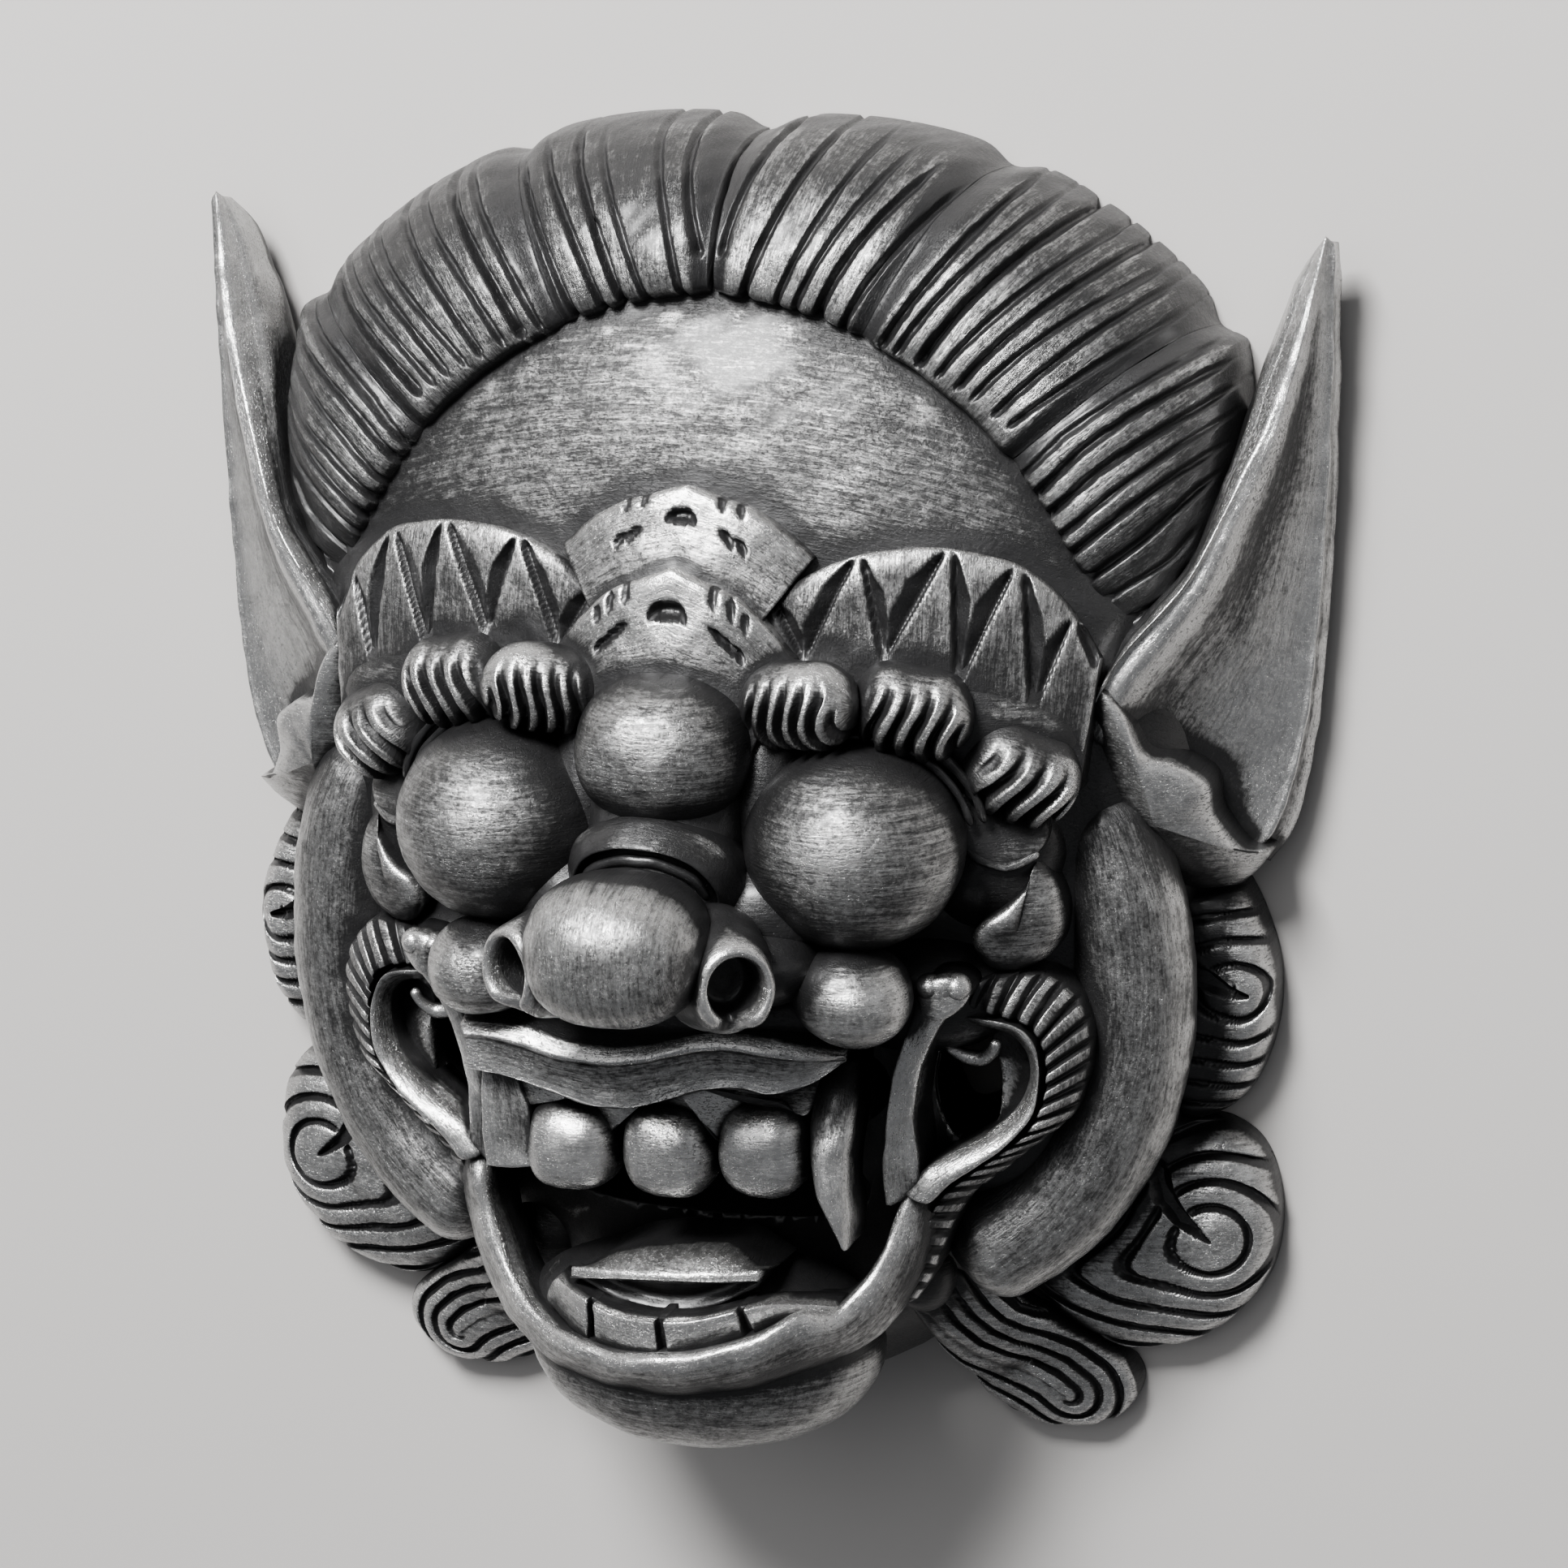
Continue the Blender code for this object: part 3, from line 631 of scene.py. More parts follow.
def plaque(tip, wing, low, face, narrow):
    """A pointed plaque: its upper edge swells from the wing and rises to the tip like a petal."""
    shares = ((1.0, 0.0), (0.80, 0.34), (0.54, 0.68), (0.25, 0.86), (0.08, 0.96), (0.0, 1.0))
    near = whole([(-wing[0] * out, wing[1] + (tip - wing[1]) * high) for out, high in shares])
    far = [(x * narrow, low) for x, _ in near]
    return panel(near, far, face, count=100, across=52)


def arc(x, y, wide, high, turn=0.0):
    """Nine points on the middle line of a crescent with its ends down, spun by turn degrees."""
    way = np.linspace(0.05, 0.95, 9) * np.pi
    points = np.stack([wide / 2 * np.cos(way), high * (np.sin(way) - 0.5)], axis=1)
    turn = np.radians(turn)
    spin = np.array([[np.cos(turn), np.sin(turn)], [-np.sin(turn), np.cos(turn)]])
    return points @ spin + np.array([x, y])


def marked(x, y, cuts):
    """The depth of the deepest of several V cuts."""
    depth = np.zeros_like(x)
    for path, wide, deep in cuts:
        depth = np.maximum(depth, v_cut(x, y, path, wide, deep, taper=0.3))
    return depth


UPPER_CUTS = [(arc(0, 60.6, 5.2, 1.6), 2.6, 2.4)]
LOWER_CUTS = [(arc(0, 45.2, 6.6, 2.2), 3.4, 2.8)]
UPPER_ARCS = ((8.2, 57.6), (10.6, 56.4))
LOWER_ARCS = ((8.6, 42.2), (10.4, 40.6), (12.2, 39.0))
UPPER_NICKS = ((6.2, 66.5, 7.4, 61.9, 1.6, 1.3), (9.8, 64.5, 10.6, 61.0, 1.5, 1.2))
LOWER_NICKS = (
    (7.6, 51.6, 8.0, 46.6, 1.6, 1.3), (10.6, 49.2, 11.2, 44.6, 1.7, 1.3), (13.4, 46.4, 13.4, 42.6, 1.5, 1.2),
)
for way in (-1, 1):
    UPPER_CUTS += [(arc(way * x, y, 3.6, 0.9, way * -48), 1.5, 1.7) for x, y in UPPER_ARCS]
    LOWER_CUTS += [(arc(way * x, y, 3.8, 0.9, way * -50), 1.4, 1.7) for x, y in LOWER_ARCS]
    for cuts, nicks in ((UPPER_CUTS, UPPER_NICKS), (LOWER_CUTS, LOWER_NICKS)):
        cuts += [([(way * a, b), (way * c, d)], wide, deep) for a, b, c, d, wide, deep in nicks]


def plaque_face(high, slope, tip, dome, cuts):
    """A face for a plaque: high at its tip, sloping out below it, and domed across by dome times
    the square of x, less its cuts and a worn edge."""
    def face(u, v, x, y):
        cut = marked(x, y, cuts)
        up = high + slope * (tip - y) - dome * x * x - cut - 0.7 * np.exp(-v * 40)
        return up, np.clip(1.3 * cut, 0, 1) - 0.25
    return face


upper_face = plaque_face(54.4, 0.36, 66, 0.012, UPPER_CUTS)
lower_face = plaque_face(62.8, 0.18, 54, 0.014, LOWER_CUTS)
shells["diadem"] = [
    panel(BAND_TOP, BAND_LOW, band_face, side, count=150, across=60, flow="across") for side in (1, -1)
]
shells["plaques"] = [
    plaque(66.2, (22.8, 54.6), 36, upper_face, 0.42),
    plaque(53.4, (21.6, 37.8), 22, lower_face, 0.7),
]
tell("diadem", "plaques")

# %% [markdown]
# ## Brows
# Three knobs stand over each eye like knuckles, with gouges across them that bend with their
# roundness, and one smooth ball sits between the two rows. A ridge behind them carries the row.

# %% Brows


def knuckles(ribs, deep, lean):
    """A cut for a bar: V cuts between ribs. They start below the smooth top and deepen to the
    underside, and they shift with the turn, so that each rib bends like a C."""
    def cut(along, turn):
        phase = along * ribs + lean * np.sin(turn) ** 2 * np.cos(turn) + 0.5
        off = np.abs(phase - np.floor(phase) - 0.5) * 2
        shown = step(0.06, 0.22, along) * (1 - step(0.84, 0.97, along))
        below = step(-0.92, 0.15, np.cos(turn))
        notch = np.clip((off - 0.34) / 0.66, 0, 1) ** 0.9 * shown * below
        return deep * notch, np.clip(notch * 1.9 - 0.2, 0, 1)
    return cut


KNOBS = (
    (23.2, 30.8, 62, 10.6, 7.8, 6, -14, 7),
    (41.2, 29.4, 55, 10.4, 8.3, -10, 12, 6),
    (58.0, 17.6, 45.5, 9.8, 8.8, -28, 28, 5),
)
shells["brows"] = []
for x, y, z, long, wide, turn, tip, ribs in KNOBS:
    turn, tip = np.radians(turn), np.radians(tip)
    way = np.array([np.cos(turn), np.sin(turn), -np.sin(tip)]) * long
    ends = [tuple(np.array([x, y, z]) + way * k) + (wide,) for k in (-1, -0.3, 0.3, 1)]
    shells["brows"] += both(bar(ends, count=84, around=64, cap=0.34, cut=knuckles(ribs, 2.7, 0.8)))
shells["brows"] += both(ball((40, 29, 45), (30, 13, 10), turn=-16, tip=10, grid=HIDDEN))
shells["brows"] += both(ball((16, 10, 54), (8, 20, 12), grid=HIDDEN))
shells["brows"] += [ball((0, 24, 52), (22, 15, 15), grid=HIDDEN)]
shells["brows"] += [ball((0, 22.5, 66), (15.4, 13.4, 15), square=2.15, grid=(56, 84))]
tell("brows")

# %% [markdown]
# ## Eyes
# The eyes are plain balls, with two thin lids cut round their upper side. The lids run on past the
# outer corner into a waved edge and a twisted leaf.

# %% Eyes


def ring_round(centre, radius, from_deg, to_deg, thick, high):
    """A thin bar on an arc round a point of the face."""
    way = np.radians(np.linspace(from_deg, to_deg, 13))
    x, y = centre[0] + radius[0] * np.cos(way), centre[1] + radius[1] * np.sin(way)
    return [(a, b, high - 0.010 * (a - centre[0]) ** 2, thick) for a, b in zip(x, y)]


LEAF = [
    (61.4, 2.1, 43), (64.9, -3.7, 42), (65.4, -11.3, 41), (62.9, -16.0, 42), (57.6, -18.6, 44),
    (53.2, -17.2, 46.5), (50.8, -12.5, 48.5), (52.3, -8.9, 49.2), (55.3, -6.8, 48.6),
    (58.2, -4.4, 47.4), (60.5, -1.4, 45),
]
FLAP = [
    (47, 13, 49), (48.5, 6, 50.5), (51.5, 3.2, 50), (54.5, 1.6, 48.8), (57.4, 1.3, 47.4),
    (61.9, 3.7, 44.6), (62.5, 8, 42), (58, 12, 42), (52, 15, 45),
]
FLAP_RIM = [
    (48.6, 6.4, 50.6, 0.9), (51.5, 3.2, 50.4, 1.0), (54.5, 1.7, 49.2, 1.1), (57.6, 1.4, 47.8, 1.1),
    (61.6, 3.4, 45, 1.0),
]
shells["eyes"] = both(ball((31.9, 5.7, 58), (19.4, 18.2, 20), grid=(60, 90)))
for radius, thick, high in (((20.3, 19.4), 0.8, 57), ((22.4, 21.6), 0.9, 56.5)):
    shells["eyes"] += both(bar(ring_round((31.5, 5.4), radius, 12, 165, thick, high), count=120, around=12))
shells["eyes"] += both(ball((50.5, 0, 38), (13, 15, 10.5), turn=-50))
shells["eyes"] += both(cushion(LEAF, (58.5, -10.5, 44), 5.2, full=2.2, wall=9))
shells["eyes"] += both(cushion(FLAP, (55, 8, 46), 2.2, full=3.2, wall=7))
shells["eyes"] += both(bar(FLAP_RIM, count=60, around=14))
tell("eyes")

# %% [markdown]
# ## Nose
# The nose is a big squarish ball. A wrinkled hood arches over it, and a thick ring turned outwards
# stands round each nostril, open at the bottom.

# %% Nose
HOOD_OUT = whole([(-15.8, -4, 68), (-15.4, 3, 72), (-12.4, 8.8, 75), (-6, 12.2, 77.5), (0, 13, 78)])
HOOD_IN = whole([(-12.6, -4, 74), (-12.6, 1.4, 77.4), (-9.8, 5.8, 80.4), (-5, 8.2, 82.2), (0, 8.8, 82.8)])
WRINKLE = whole([(-11, -1, 76, 0.9), (-9, 3.4, 79, 1.0), (-4, 6.0, 80.6, 1.1), (0, 6.4, 81, 1.1)])
NOSTRIL = [
    (0.3, -9.5), (4.2, -9.2), (4.6, -4), (5.0, -0.5), (5.9, 0.4), (6.9, -0.5), (7.7, -3.6),
    (8.7, -9), (9.4, -16), (0.3, -17),
]
shells["nose"] = [
    bar([(0, 18, 55, 14), (0, 8, 63, 14), (0, -2, 70, 13), (0, -14, 70, 13)], around=60),
    ribbon(HOOD_OUT, HOOD_IN, crown=1.1, wall=9, full=2.2, count=120),
    bar(WRINKLE, count=90, around=14),
    ball((-0.7, -6.7, 89.5), (15.5, 13.0, 16), square=2.4, grid=(64, 92), flow="upright"),
]
shells["nose"] += both(ball((17, -6, 60), (12, 11, 13)))
shells["nose"] += both(ball((16, -14, 66), (12, 8, 13)))
for side in (1, -1):
    shells["nose"].append(turned((side * 20.6, -12.2, 90.5), NOSTRIL, side * 33, tall=1.14, open_below=5))
tell("nose")

# %% [markdown]
# ## Cheeks
# Round cheeks sit beside the nose. A long smooth roll frames each side of the face. Inside it a
# ribbon falls from a knob like a bone's end, and a second ribbon loops round a pierced hole to meet
# it. A ruffle of wedge-shaped ribs follows the loop on its outer side.

# %% Cheeks
ROLL = [
    (66.4, 11.6, 28, 8.4), (71.0, -3, 26.8, 11.0), (73.4, -20, 25, 11.9), (73.0, -36, 24, 12.2),
    (68.8, -52, 24.2, 12.3), (61.2, -64.6, 25.6, 12.3), (51.6, -73.0, 28.4, 11.8),
    (43.2, -77.4, 30, 10.4),
]
RUFFLE_IN = [
    (49.4, -24.6, 49), (53.6, -25.6, 49), (57.3, -26.3, 48.4), (60.9, -27.9, 47.4),
    (62.6, -30.8, 46.4), (63.3, -34.4, 46), (63.4, -38.3, 46), (62.8, -42.6, 46), (61, -46.8, 46.4),
    (57.6, -50.4, 47), (53.4, -53.7, 48), (49, -57, 49), (45.4, -60.6, 49), (42.9, -65, 48.4),
    (41, -70, 48), (39.3, -75.4, 48), (37.2, -81, 48),
]
RUFFLE_OUT = [
    (51.6, -19.6, 49), (56.0, -18.6, 47), (61.4, -18.6, 45), (65.2, -20.8, 43), (68.3, -24.6, 41),
    (70.0, -29.6, 40), (70.2, -34.6, 39.5), (69.4, -40.1, 39.4), (67.4, -45.4, 39.8),
    (63.4, -49.4, 40.6), (58.6, -53.6, 41.8), (53.8, -57.6, 43), (49.8, -61.2, 44), (47.2, -66, 44),
    (45.2, -71.2, 44.4), (42.9, -76.8, 45), (39.8, -82.2, 45.6),
]
BAND_LEFT = [
    (43.2, -18.8, 58), (42.6, -23.1, 58.2), (40.9, -28.8, 57.8), (38.9, -35.7, 56.8),
    (37.5, -42.5, 55.8), (36.7, -48.6, 54.5), (35.9, -53.6, 53), (36.2, -63, 51),
]
BAND_RIGHT = [
    (50.6, -19.4, 57.6), (49.0, -23.1, 57.8), (46.7, -26.9, 57.4), (44.6, -31.4, 56.4),
    (43.0, -36.5, 55.2), (42.1, -41.4, 54.2), (41.8, -46.4, 53), (42.4, -58, 51),
]
HOLE_IN = [
    (47.6, -27.6, 47.6), (52.0, -28.7, 46.4), (56.6, -30.0, 45.0), (59.2, -32.8, 43.6),
    (59.9, -36.2, 43), (59.4, -40.6, 43), (57.6, -44.0, 44), (54.6, -47.2, 45.4), (50.8, -50.0, 47),
    (46.8, -52.2, 48.8), (42.6, -54.9, 50.4), (39.0, -59.6, 51.4),
]
HOLE_OUT = [
    (47.9, -25.8, 49.5), (53.1, -26.3, 49.2), (58.7, -27.6, 48.2), (61.4, -30.6, 47.4),
    (62.5, -34.3, 47), (62.6, -38.5, 47), (61.8, -43.0, 47.2), (59.8, -46.6, 48), (56.6, -50.1, 49),
    (52.5, -53.2, 50), (47.9, -56.7, 51), (43.6, -61.4, 51.4),
]
KNOB = [
    (43.1, -20.9, 58), (44.9, -17.5, 58.5), (47.6, -16.5, 58.5), (50.4, -16.9, 57.5),
    (52.2, -19.3, 56), (51.6, -21.6, 56.5), (49.4, -23.6, 57.6), (46.7, -25, 58), (43.6, -24.2, 58),
]
TENDRIL = [
    (45.0, -30.8, 47, 1.2), (46.1, -33.6, 45, 1.2), (48.6, -35.2, 44, 1.3), (51.4, -35.4, 44, 1.2),
    (53.6, -33.6, 45, 1.1), (54.6, -31.2, 46, 1.0),
]


def ribbed(ribs, deep):
    """A cut for a ribbon: V cuts between rounded ribs, deepest at its outer edge."""
    def cut(along, across):
        phase = along * ribs + 0.12 * np.sin(np.pi * across) + 0.1
        off = np.abs(phase - np.floor(phase) - 0.5) * 2
        notch = np.clip((off - 0.42) / 0.58, 0, 1)
        depth = deep * notch * (0.6 + 0.4 * across) + 0.5 * off**2 + 1.0 * step(0.84, 1, across)
        return depth, np.clip(notch * 1.7 - 0.15, 0, 1)
    return cut


shells["cheeks"] = both(ball((33.6, -19.3, 64.5), (10.4, 8.8, 11), turn=-8, square=2.1, grid=(52, 76)))
shells["cheeks"] += both(ball((38, -24, 40), (20, 12, 13), grid=HIDDEN))
shells["cheeks"] += both(bar(ROLL, count=110, around=60, cap=0.075))
ruffle = ribbon(
    RUFFLE_IN, RUFFLE_OUT, crown=1.5, wall=9, full=2.3, count=360, across=22, ends=0.012, cut=ribbed(23, 1.9),
)
shells["ribbons"] = both(ruffle)
shells["ribbons"] += both(ribbon(BAND_LEFT, BAND_RIGHT, crown=1.1, wall=14, full=3.0))
shells["ribbons"] += both(ribbon(HOLE_IN, HOLE_OUT, crown=1.4, wall=13, full=2.2, ends=0.02))
shells["ribbons"] += both(cushion(KNOB, (47.4, -20.4, 58), 1.8, full=2.2, wall=9, rings=22, around=70))
shells["ribbons"] += both(ball((45.4, -18.8, 57.6), (2.7, 2.4, 2.8), grid=(20, 30)))
shells["ribbons"] += both(ball((50.0, -18.7, 56.6), (2.6, 2.5, 2.8), grid=(20, 30)))
shells["ribbons"] += both(bar(TENDRIL, count=60, around=18))
shells["cheek_mass"] = both(ball((49, -42, 27), (19, 28, 13), grid=(40, 60)))
tell("cheeks", "ribbons")

# %% [markdown]
# ## Upper lip and teeth
# The upper lip is a waved ribbon. Its bright rounded top edge stands out, and its front leans back
# under it to a second edge. Below it are the gum, cut in scallops, three boxy round teeth, a square
# tooth on one side and a curved fang on the other.

# %% Upper lip and teeth
LIP_TOP = [
    (-38.3, -30.9, 65.4), (-33.5, -30.2, 66), (-26.5, -30.4, 66.5), (-19.6, -32.1, 67),
    (-11.4, -32.6, 67.5), (-4.1, -31.5, 67.5), (2.6, -29.5, 67.5), (9.9, -27.8, 67.5),
    (17.6, -28.2, 67), (22.8, -29.2, 66), (27.2, -30.2, 64), (31.2, -31.8, 60.5),
]
LIP_RIM = [
    (-37.4, -32.9, 66.4), (-33, -32.6, 66.9), (-26.4, -33.4, 67.3), (-19.8, -34.9, 67.7),
    (-11.9, -35.4, 68), (-4.1, -34.2, 68), (3.4, -31.9, 68), (10.3, -30.6, 68), (17.4, -31.1, 67.5),
    (22.2, -31.8, 66.5), (26.8, -32.2, 64.4), (31.2, -32.4, 60.8),
]
LIP_FOOT = [
    (-37.5, -39.2, 64.4), (-33.4, -39.3, 65), (-27.4, -40, 65.6), (-20.6, -41.5, 66.2),
    (-13.9, -43.1, 66.6), (-6.6, -42.9, 66.8), (0.3, -40.8, 66.8), (7, -38.4, 66.8),
    (12.6, -37.6, 66.8), (19.2, -38.3, 66), (26.0, -36.4, 63.6), (31.2, -33.0, 60.5),
]
GUM = [
    (-35.5, -34, 59), (-36.2, -41.5, 59.6), (-30.2, -42.4, 60), (-27.4, -46, 60.4),
    (-24.4, -44.2, 60.6), (-19.8, -43.4, 60.8), (-15.4, -45.0, 60.8), (-12.2, -49.2, 60.6),
    (-12.0, -49.2, 60.6), (-9.2, -45.6, 60.8), (-4.6, -43.7, 61), (0.6, -43.6, 61),
    (5.0, -45.2, 61), (8.0, -49.0, 60.6), (8.2, -49.0, 60.6), (10.8, -44.2, 61), (14.8, -41.1, 61),
    (19.6, -41.0, 61), (23.6, -43.6, 59.6), (25.6, -40, 56), (26, -36, 54), (20, -32, 57),
    (0, -31, 60), (-20, -32, 60),
]
FANG_IN = [
    (25.6, -34, 51), (24.6, -40.5, 56.4), (24.7, -46.4, 60), (25.3, -52, 61.4), (26.6, -57.2, 61.9),
    (28.6, -61.6, 61.8), (31.2, -67.4, 60.2),
]
FANG_OUT = [
    (32.0, -34, 50), (32.2, -40.5, 55.6), (32.4, -46, 59.2), (32.0, -51, 60.2), (32.0, -56.6, 60.6),
    (32.5, -62, 60.5), (32.2, -67.4, 60),
]
BLOCK_LEFT = [(-36.2, -35, 60), (-36.3, -42, 60.4), (-36.2, -50, 60.6), (-35.8, -58.8, 60.6)]
BLOCK_RIGHT = [(-30.0, -35, 61), (-28.6, -42, 61.6), (-26.6, -48, 62), (-26.6, -57.4, 62)]


def shifted(rail, x=0.0, y=0.0, z=0.0):
    """A copy of a curve, moved."""
    return np.array(rail, float) + np.array([x, y, z])


def painted_lip_shadow(along, across):
    """No cut; a painted shadow at the start, where the lip shades it, and a little more silver along the
    rest.
    """
    return 0 * along * across, 0.9 * (1 - step(0.15, 0.6, along)) - 0.2 + 0 * across


middle_rail = (np.array(LIP_RIM) + np.array(LIP_FOOT)) / 2 - np.array([0, 0, 0.1])
LIP_RAILS = [
    shifted(LIP_TOP, y=3.2, z=-8), shifted(LIP_TOP, y=1.0, z=-1.6), LIP_TOP, shifted(LIP_RIM, y=0.9, z=0.5),
    shifted(LIP_RIM, y=-0.1, z=-0.3), shifted(LIP_RIM, y=-0.2, z=-0.4), middle_rail,
    shifted(LIP_FOOT, y=0.5, z=0.5), shifted(LIP_FOOT, y=0.3, z=0.4), shifted(LIP_FOOT, y=0.6, z=-2.4),
    shifted(LIP_FOOT, y=2.4, z=-10), shifted(LIP_TOP, y=2, z=-14),
]
LIP_AROUND = 72
rail = len(LIP_RAILS) * np.arange(LIP_AROUND) / LIP_AROUND
# painted highlight: the lip is lighter along its rounded top edge and along its lower edge
lip_painted_highlight = -0.10 - 0.65 * bell(rail, 2.6, 1.0) - 0.5 * bell(rail, 8, 0.6)
shells["mouth"] = [loft(LIP_RAILS, count=150, around=LIP_AROUND, ink_and_painted_light=lip_painted_highlight)]
shells["mouth"] += [ball((0, -25, 50), (37, 10, 17)), ball((0, -42, 42), (35, 13, 14), square=2.3)]
# painted light: the gum, which the lip shades, is made lighter
shells["mouth"] += [cushion(GUM, (0, -38, 62.6), 1.6, full=3.0, wall=12, rings=30, around=250, ink_and_painted_light=-0.8)]
TOOTH = ((16.2, -50.4, 57.6, 8.2, 8.9), (-1.2, -52.0, 57.8, 8.6, 8.8), (-19.4, -52.8, 57.4, 8.4, 8.6))
for x, y, z, wide, tall in TOOTH:
    shells["mouth"].append(ball((x, y, z), (wide, tall, 9.2), square=2.7, grid=(56, 80), ink_and_painted_light=-0.45))
shells["mouth"] += [
    ribbon(FANG_IN, FANG_OUT, crown=3.2, wall=9, full=2.1, count=90, across=30, ends=0.03, cut=painted_lip_shadow),
]
shells["mouth"] += [ribbon(BLOCK_LEFT, BLOCK_RIGHT, crown=0.8, wall=13, full=5, count=70, ends=0.012)]
tell("mouth")

# %% [markdown]
# ## Lower jaw
# The lower lip is a broad rounded band that falls from the mouth's corners and widens under the
# mouth. Inside it lie four flat teeth and the tongue, which has a sharp front edge. The chin bulges
# below.

# %% Lower jaw
MOUTH_EDGE = [
    (-39.6, -55, 43.5), (-38.8, -62, 49.4), (-37.4, -69, 51.4), (-34.8, -75.6, 53.2),
    (-31.0, -81.2, 56.8), (-25.2, -84.8, 61.8), (-17.6, -86.4, 67), (-9, -86.8, 70.8),
    (0, -86.0, 72.8), (9, -84.2, 72.8), (17.6, -81.6, 70.4), (24.6, -78.0, 66.2),
    (29.4, -78.9, 59.6), (34.4, -72.6, 53.8), (37.4, -65, 50.8), (40.2, -55, 46.5),
]
CHIN_EDGE = [
    (-45.2, -56, 41), (-45.6, -64, 44.6), (-45, -72, 44.4), (-42.6, -80.2, 44.8),
    (-38.4, -87.6, 47.2), (-31.4, -93.2, 51.4), (-22, -96.4, 56.8), (-11, -97.6, 61),
    (0, -97.0, 63.6), (10, -95.4, 63.8), (19.4, -93.0, 60.8), (28, -90.4, 55.8),
    (35.4, -86.4, 50.8), (40.2, -79, 47), (43.4, -70, 45.6), (45.6, -58, 43.5),
]
TEETH_TOP = [
    (-23, -78.2, 60), (-17.4, -78.2, 66.4), (-10.6, -79.8, 70.2), (-4, -80.1, 72.2),
    (2, -79.7, 72.8), (8, -78.7, 72.4), (14.5, -77.2, 70.4), (20.9, -76.6, 66.4), (29.4, -78.4, 60),
]
TEETH_FOOT = [
    (-26, -83.4, 58), (-18.6, -85.8, 64.6), (-11, -87.2, 68.4), (-4, -87.4, 70.4), (2, -86.9, 71),
    (8.6, -85.4, 70.6), (15.6, -82.8, 68.2), (22, -80.4, 64.4), (29.8, -79.0, 59.4),
]
TONGUE_BACK = [
    (-19.6, -79, 50), (-11, -73.0, 50), (0, -71.0, 50), (9.6, -71.0, 50), (17.6, -74.4, 50),
]
TONGUE_TOP = [
    (-19.4, -77.2, 59), (-10, -72.2, 60.8), (0, -70.6, 61.2), (9.4, -70.2, 60.8), (17.2, -72.8, 59),
]
TONGUE_EDGE = [
    (-18.8, -76.6, 63.8), (-9.6, -75.2, 66.4), (-0.4, -74.3, 67.2), (8.4, -73.8, 66.8),
    (16.4, -73.4, 64.4),
]
TONGUE_LOW = [
    (-18.0, -78.0, 61.4), (-9.4, -80.6, 63.2), (-0.4, -81.4, 63.8), (8, -79.6, 63.4),
    (15.6, -75.8, 61.8),
]


def plates(gaps, wide, deep):
    """A cut for a ribbon: square gaps across it at the given shares of its length."""
    def cut(along, across):
        off = np.min([np.abs(along - place - 0.012 * (across - 0.5)) for place in gaps], axis=0)
        gap = 1 - step(wide * 0.8, wide * 1.25, off)
        return deep * gap + 0 * across, gap + 0 * across
    return cut


def lip_chatter_and_painted_light(along, across):
    """The faint chatter of a blade, and silver left thick along the edge that a hand rubs most, brightened
    further as a painted highlight. The lip is darker towards the chin, and at the corner of the mouth where
    it starts it is darker as painted shade."""
    chatter = 0.5 * np.sin(41 * along + 5 * across) * np.sin(23 * along) * np.sin(np.pi * across)
    # painted highlight along the rounded edge, and darker towards the chin
    ink_and_painted_light = -0.10 - 0.95 * bell(across, 0.10, 0.16) + 0.25 * step(0.45, 0.9, across)
    return chatter, ink_and_painted_light + 0.7 * (1 - step(0.0, 0.10, along))


shells["jaw"] = [
    ribbon(MOUTH_EDGE, CHIN_EDGE, crown=4.4, wall=12, full=2.1, count=190, across=36, ends=0.02, cut=lip_chatter_and_painted_light),
]
shells["jaw"] += [ball((0, -94, 42), (33, 19, 26), grid=(60, 88)), ball((0, -86, 46), (32, 12, 19))]
shells["jaw"] += both(ball((34, -79, 27), (8, 12, 8), turn=25))
TONGUE_RAILS = [
    TONGUE_BACK, TONGUE_TOP, shifted(TONGUE_EDGE, y=1.6, z=-0.8), TONGUE_EDGE, TONGUE_EDGE,
    shifted(TONGUE_LOW, y=3, z=-1.0), TONGUE_LOW, shifted(TONGUE_LOW, z=-9), shifted(TONGUE_BACK, z=-6),
]
TONGUE_AROUND = 64
rail = len(TONGUE_RAILS) * np.arange(TONGUE_AROUND) / TONGUE_AROUND
# painted light and shade: a painted highlight on the sharp front edge, and a painted shade on the underside
# below it
tongue_painted_light = 0.10 + 0.9 * bell(rail, 5.5, 1.1) - 0.6 * bell(rail, 3.2, 0.5)
shells["jaw"] += [loft(TONGUE_RAILS, count=80, around=TONGUE_AROUND, ink_and_painted_light=tongue_painted_light, flow="level")]
gaps = plates((0.235, 0.475, 0.725), wide=0.013, deep=2.6)
shells["jaw"] += [
    ribbon(TEETH_TOP, TEETH_FOOT, crown=0.7, wall=7, full=4.5, count=330, across=20, ends=0.03, cut=gaps),
]
tell("jaw")

# %% [markdown]
# ## Whisker curls
# Behind the rolls, three locks of whisker a side curl up. Each is a cushion with long V cuts. On the
# high and the middle curl the cuts are circles round the curl's eye, drawn out towards the face, and
# one wide comma runs into the eye. On the low curl they lie at even distances from a line that ends
# in the eye, and half a turn round the eye moves them by half their spacing, so they wind in.

# %% Whisker curls


def grooved(far, first, pitch, wide, deep):
    """Depth of V cuts pitch apart where a distance is first, first + pitch and so on."""
    phase = (far - first) / pitch
    off = np.abs(phase - np.maximum(np.round(phase), 0)) * pitch
    return deep * np.clip(1 - off / (wide / 2), 0, 1) ** 0.8, 0.6 * np.exp(-off / 0.7)


